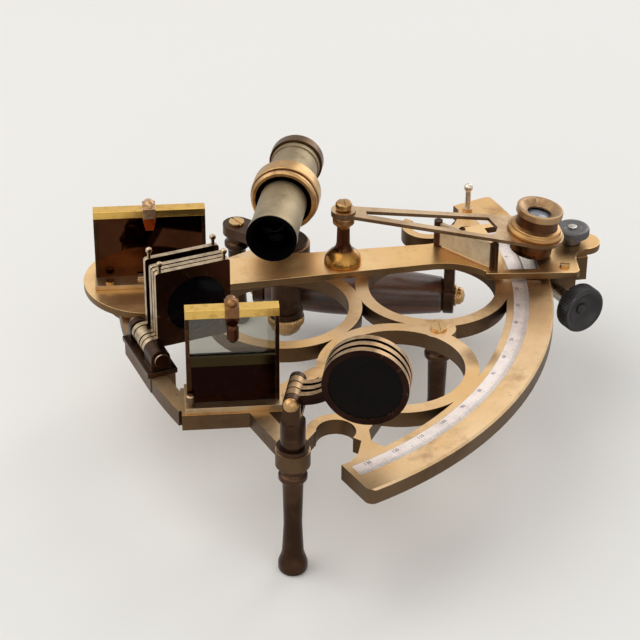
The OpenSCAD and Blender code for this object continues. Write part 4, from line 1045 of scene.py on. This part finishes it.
# %% Lamps
CENTRE = (0, -0.09, 0.06)
LAMPS = [("key_lamp", (-0.25, 0.75, 1.3), (1.8, 1.6), 13.5, (1.0, 0.97, 0.92)),
         ("fill_lamp", (-1.2, -0.9, 0.9), (1.6, 1.6), 6, (0.94, 0.97, 1.0)),
         ("strip_lamp", (1.2, -0.5, 0.8), (0.5, 1.8), 6, (1.0, 0.98, 0.94))]


def soft_lamp(name, place, size, watts, colour):
    light = bpy.data.lights.new(name, "AREA")
    light.shape = "RECTANGLE"
    light.size, light.size_y = size
    light.energy = watts
    light.color = colour
    lamp = bpy.data.objects.new(name, light)
    lamp.location = place
    lamp.rotation_euler = (Vector(CENTRE) - Vector(place)).to_track_quat("-Z", "Y").to_euler()
    bpy.context.scene.collection.objects.link(lamp)


for lamp in LAMPS:
    soft_lamp(*lamp)
print("lamps:", len(LAMPS))

# %% [markdown]
# The world lights the sextant softly. To the camera, in reflections and through glass it
# shows white instead, so the background is pale without more light on the brass.

# %% World
def pale_world(level):
    world = bpy.data.worlds.new("pale_room")
    bpy.context.scene.world = world
    world.use_nodes = True
    nodes, links = world.node_tree.nodes, world.node_tree.links
    nodes.clear()
    path = nodes.new("ShaderNodeLightPath")
    seen = nodes.new("ShaderNodeBackground")
    seen.inputs["Color"].default_value = rgb(250, 249, 247)
    lit = nodes.new("ShaderNodeBackground")
    lit.inputs["Color"].default_value = rgb(236, 238, 242)
    lit.inputs["Strength"].default_value = level
    share = path.outputs["Is Camera Ray"]
    for ray in ("Is Glossy Ray", "Is Transmission Ray"):
        either = nodes.new("ShaderNodeMath")
        either.operation = "MAXIMUM"
        links.new(share, either.inputs[0])
        links.new(path.outputs[ray], either.inputs[1])
        share = either.outputs[0]
    choice = nodes.new("ShaderNodeMixShader")
    links.new(share, choice.inputs[0])
    links.new(lit.outputs[0], choice.inputs[1])
    links.new(seen.outputs[0], choice.inputs[2])
    links.new(choice.outputs[0], nodes.new("ShaderNodeOutputWorld").inputs["Surface"])
    return world


print("world:", pale_world(level=0.55).name)

# %% [markdown]
# The photograph was taken from the near left, about 29 degrees above the table. The
# camera stands at that place, found from how the limb and the rings look, with a longer
# lens, so that the sextant fills the picture.

# %% Camera
CAMERA_PLACE = Vector((-0.7804, -0.2766, 0.5007)) + FACE_Z * UP
LOOK_TURN = math.radians(17.65)
LOOK_DOWN = math.radians(29.3)
LOOK_ROLL = math.radians(1.15)
AIM = Vector((0.004, -0.075, 0.052))
LENS = 124
photo_forward = Vector((math.cos(LOOK_DOWN) * math.cos(LOOK_TURN), math.cos(LOOK_DOWN) * math.sin(LOOK_TURN),
                        -math.sin(LOOK_DOWN)))
photo_right = photo_forward.cross(UP).normalized()
photo_up = Matrix.Rotation(LOOK_ROLL, 3, photo_forward) @ photo_right.cross(photo_forward)
view_forward = (AIM - CAMERA_PLACE).normalized()
view_right = view_forward.cross(photo_up).normalized()
view_up = view_right.cross(view_forward)
camera_data = bpy.data.cameras.new("camera")
camera_data.lens = LENS
camera = bpy.data.objects.new("camera", camera_data)
camera.matrix_world = Matrix.Translation(CAMERA_PLACE) @ Matrix(
    (view_right, view_up, -view_forward)).transposed().to_4x4()
bpy.context.scene.collection.objects.link(camera)
bpy.context.scene.camera = camera
bpy.context.scene.view_settings.view_transform = "Standard"
print("camera to aim, in metres:", round((AIM - CAMERA_PLACE).length, 3))
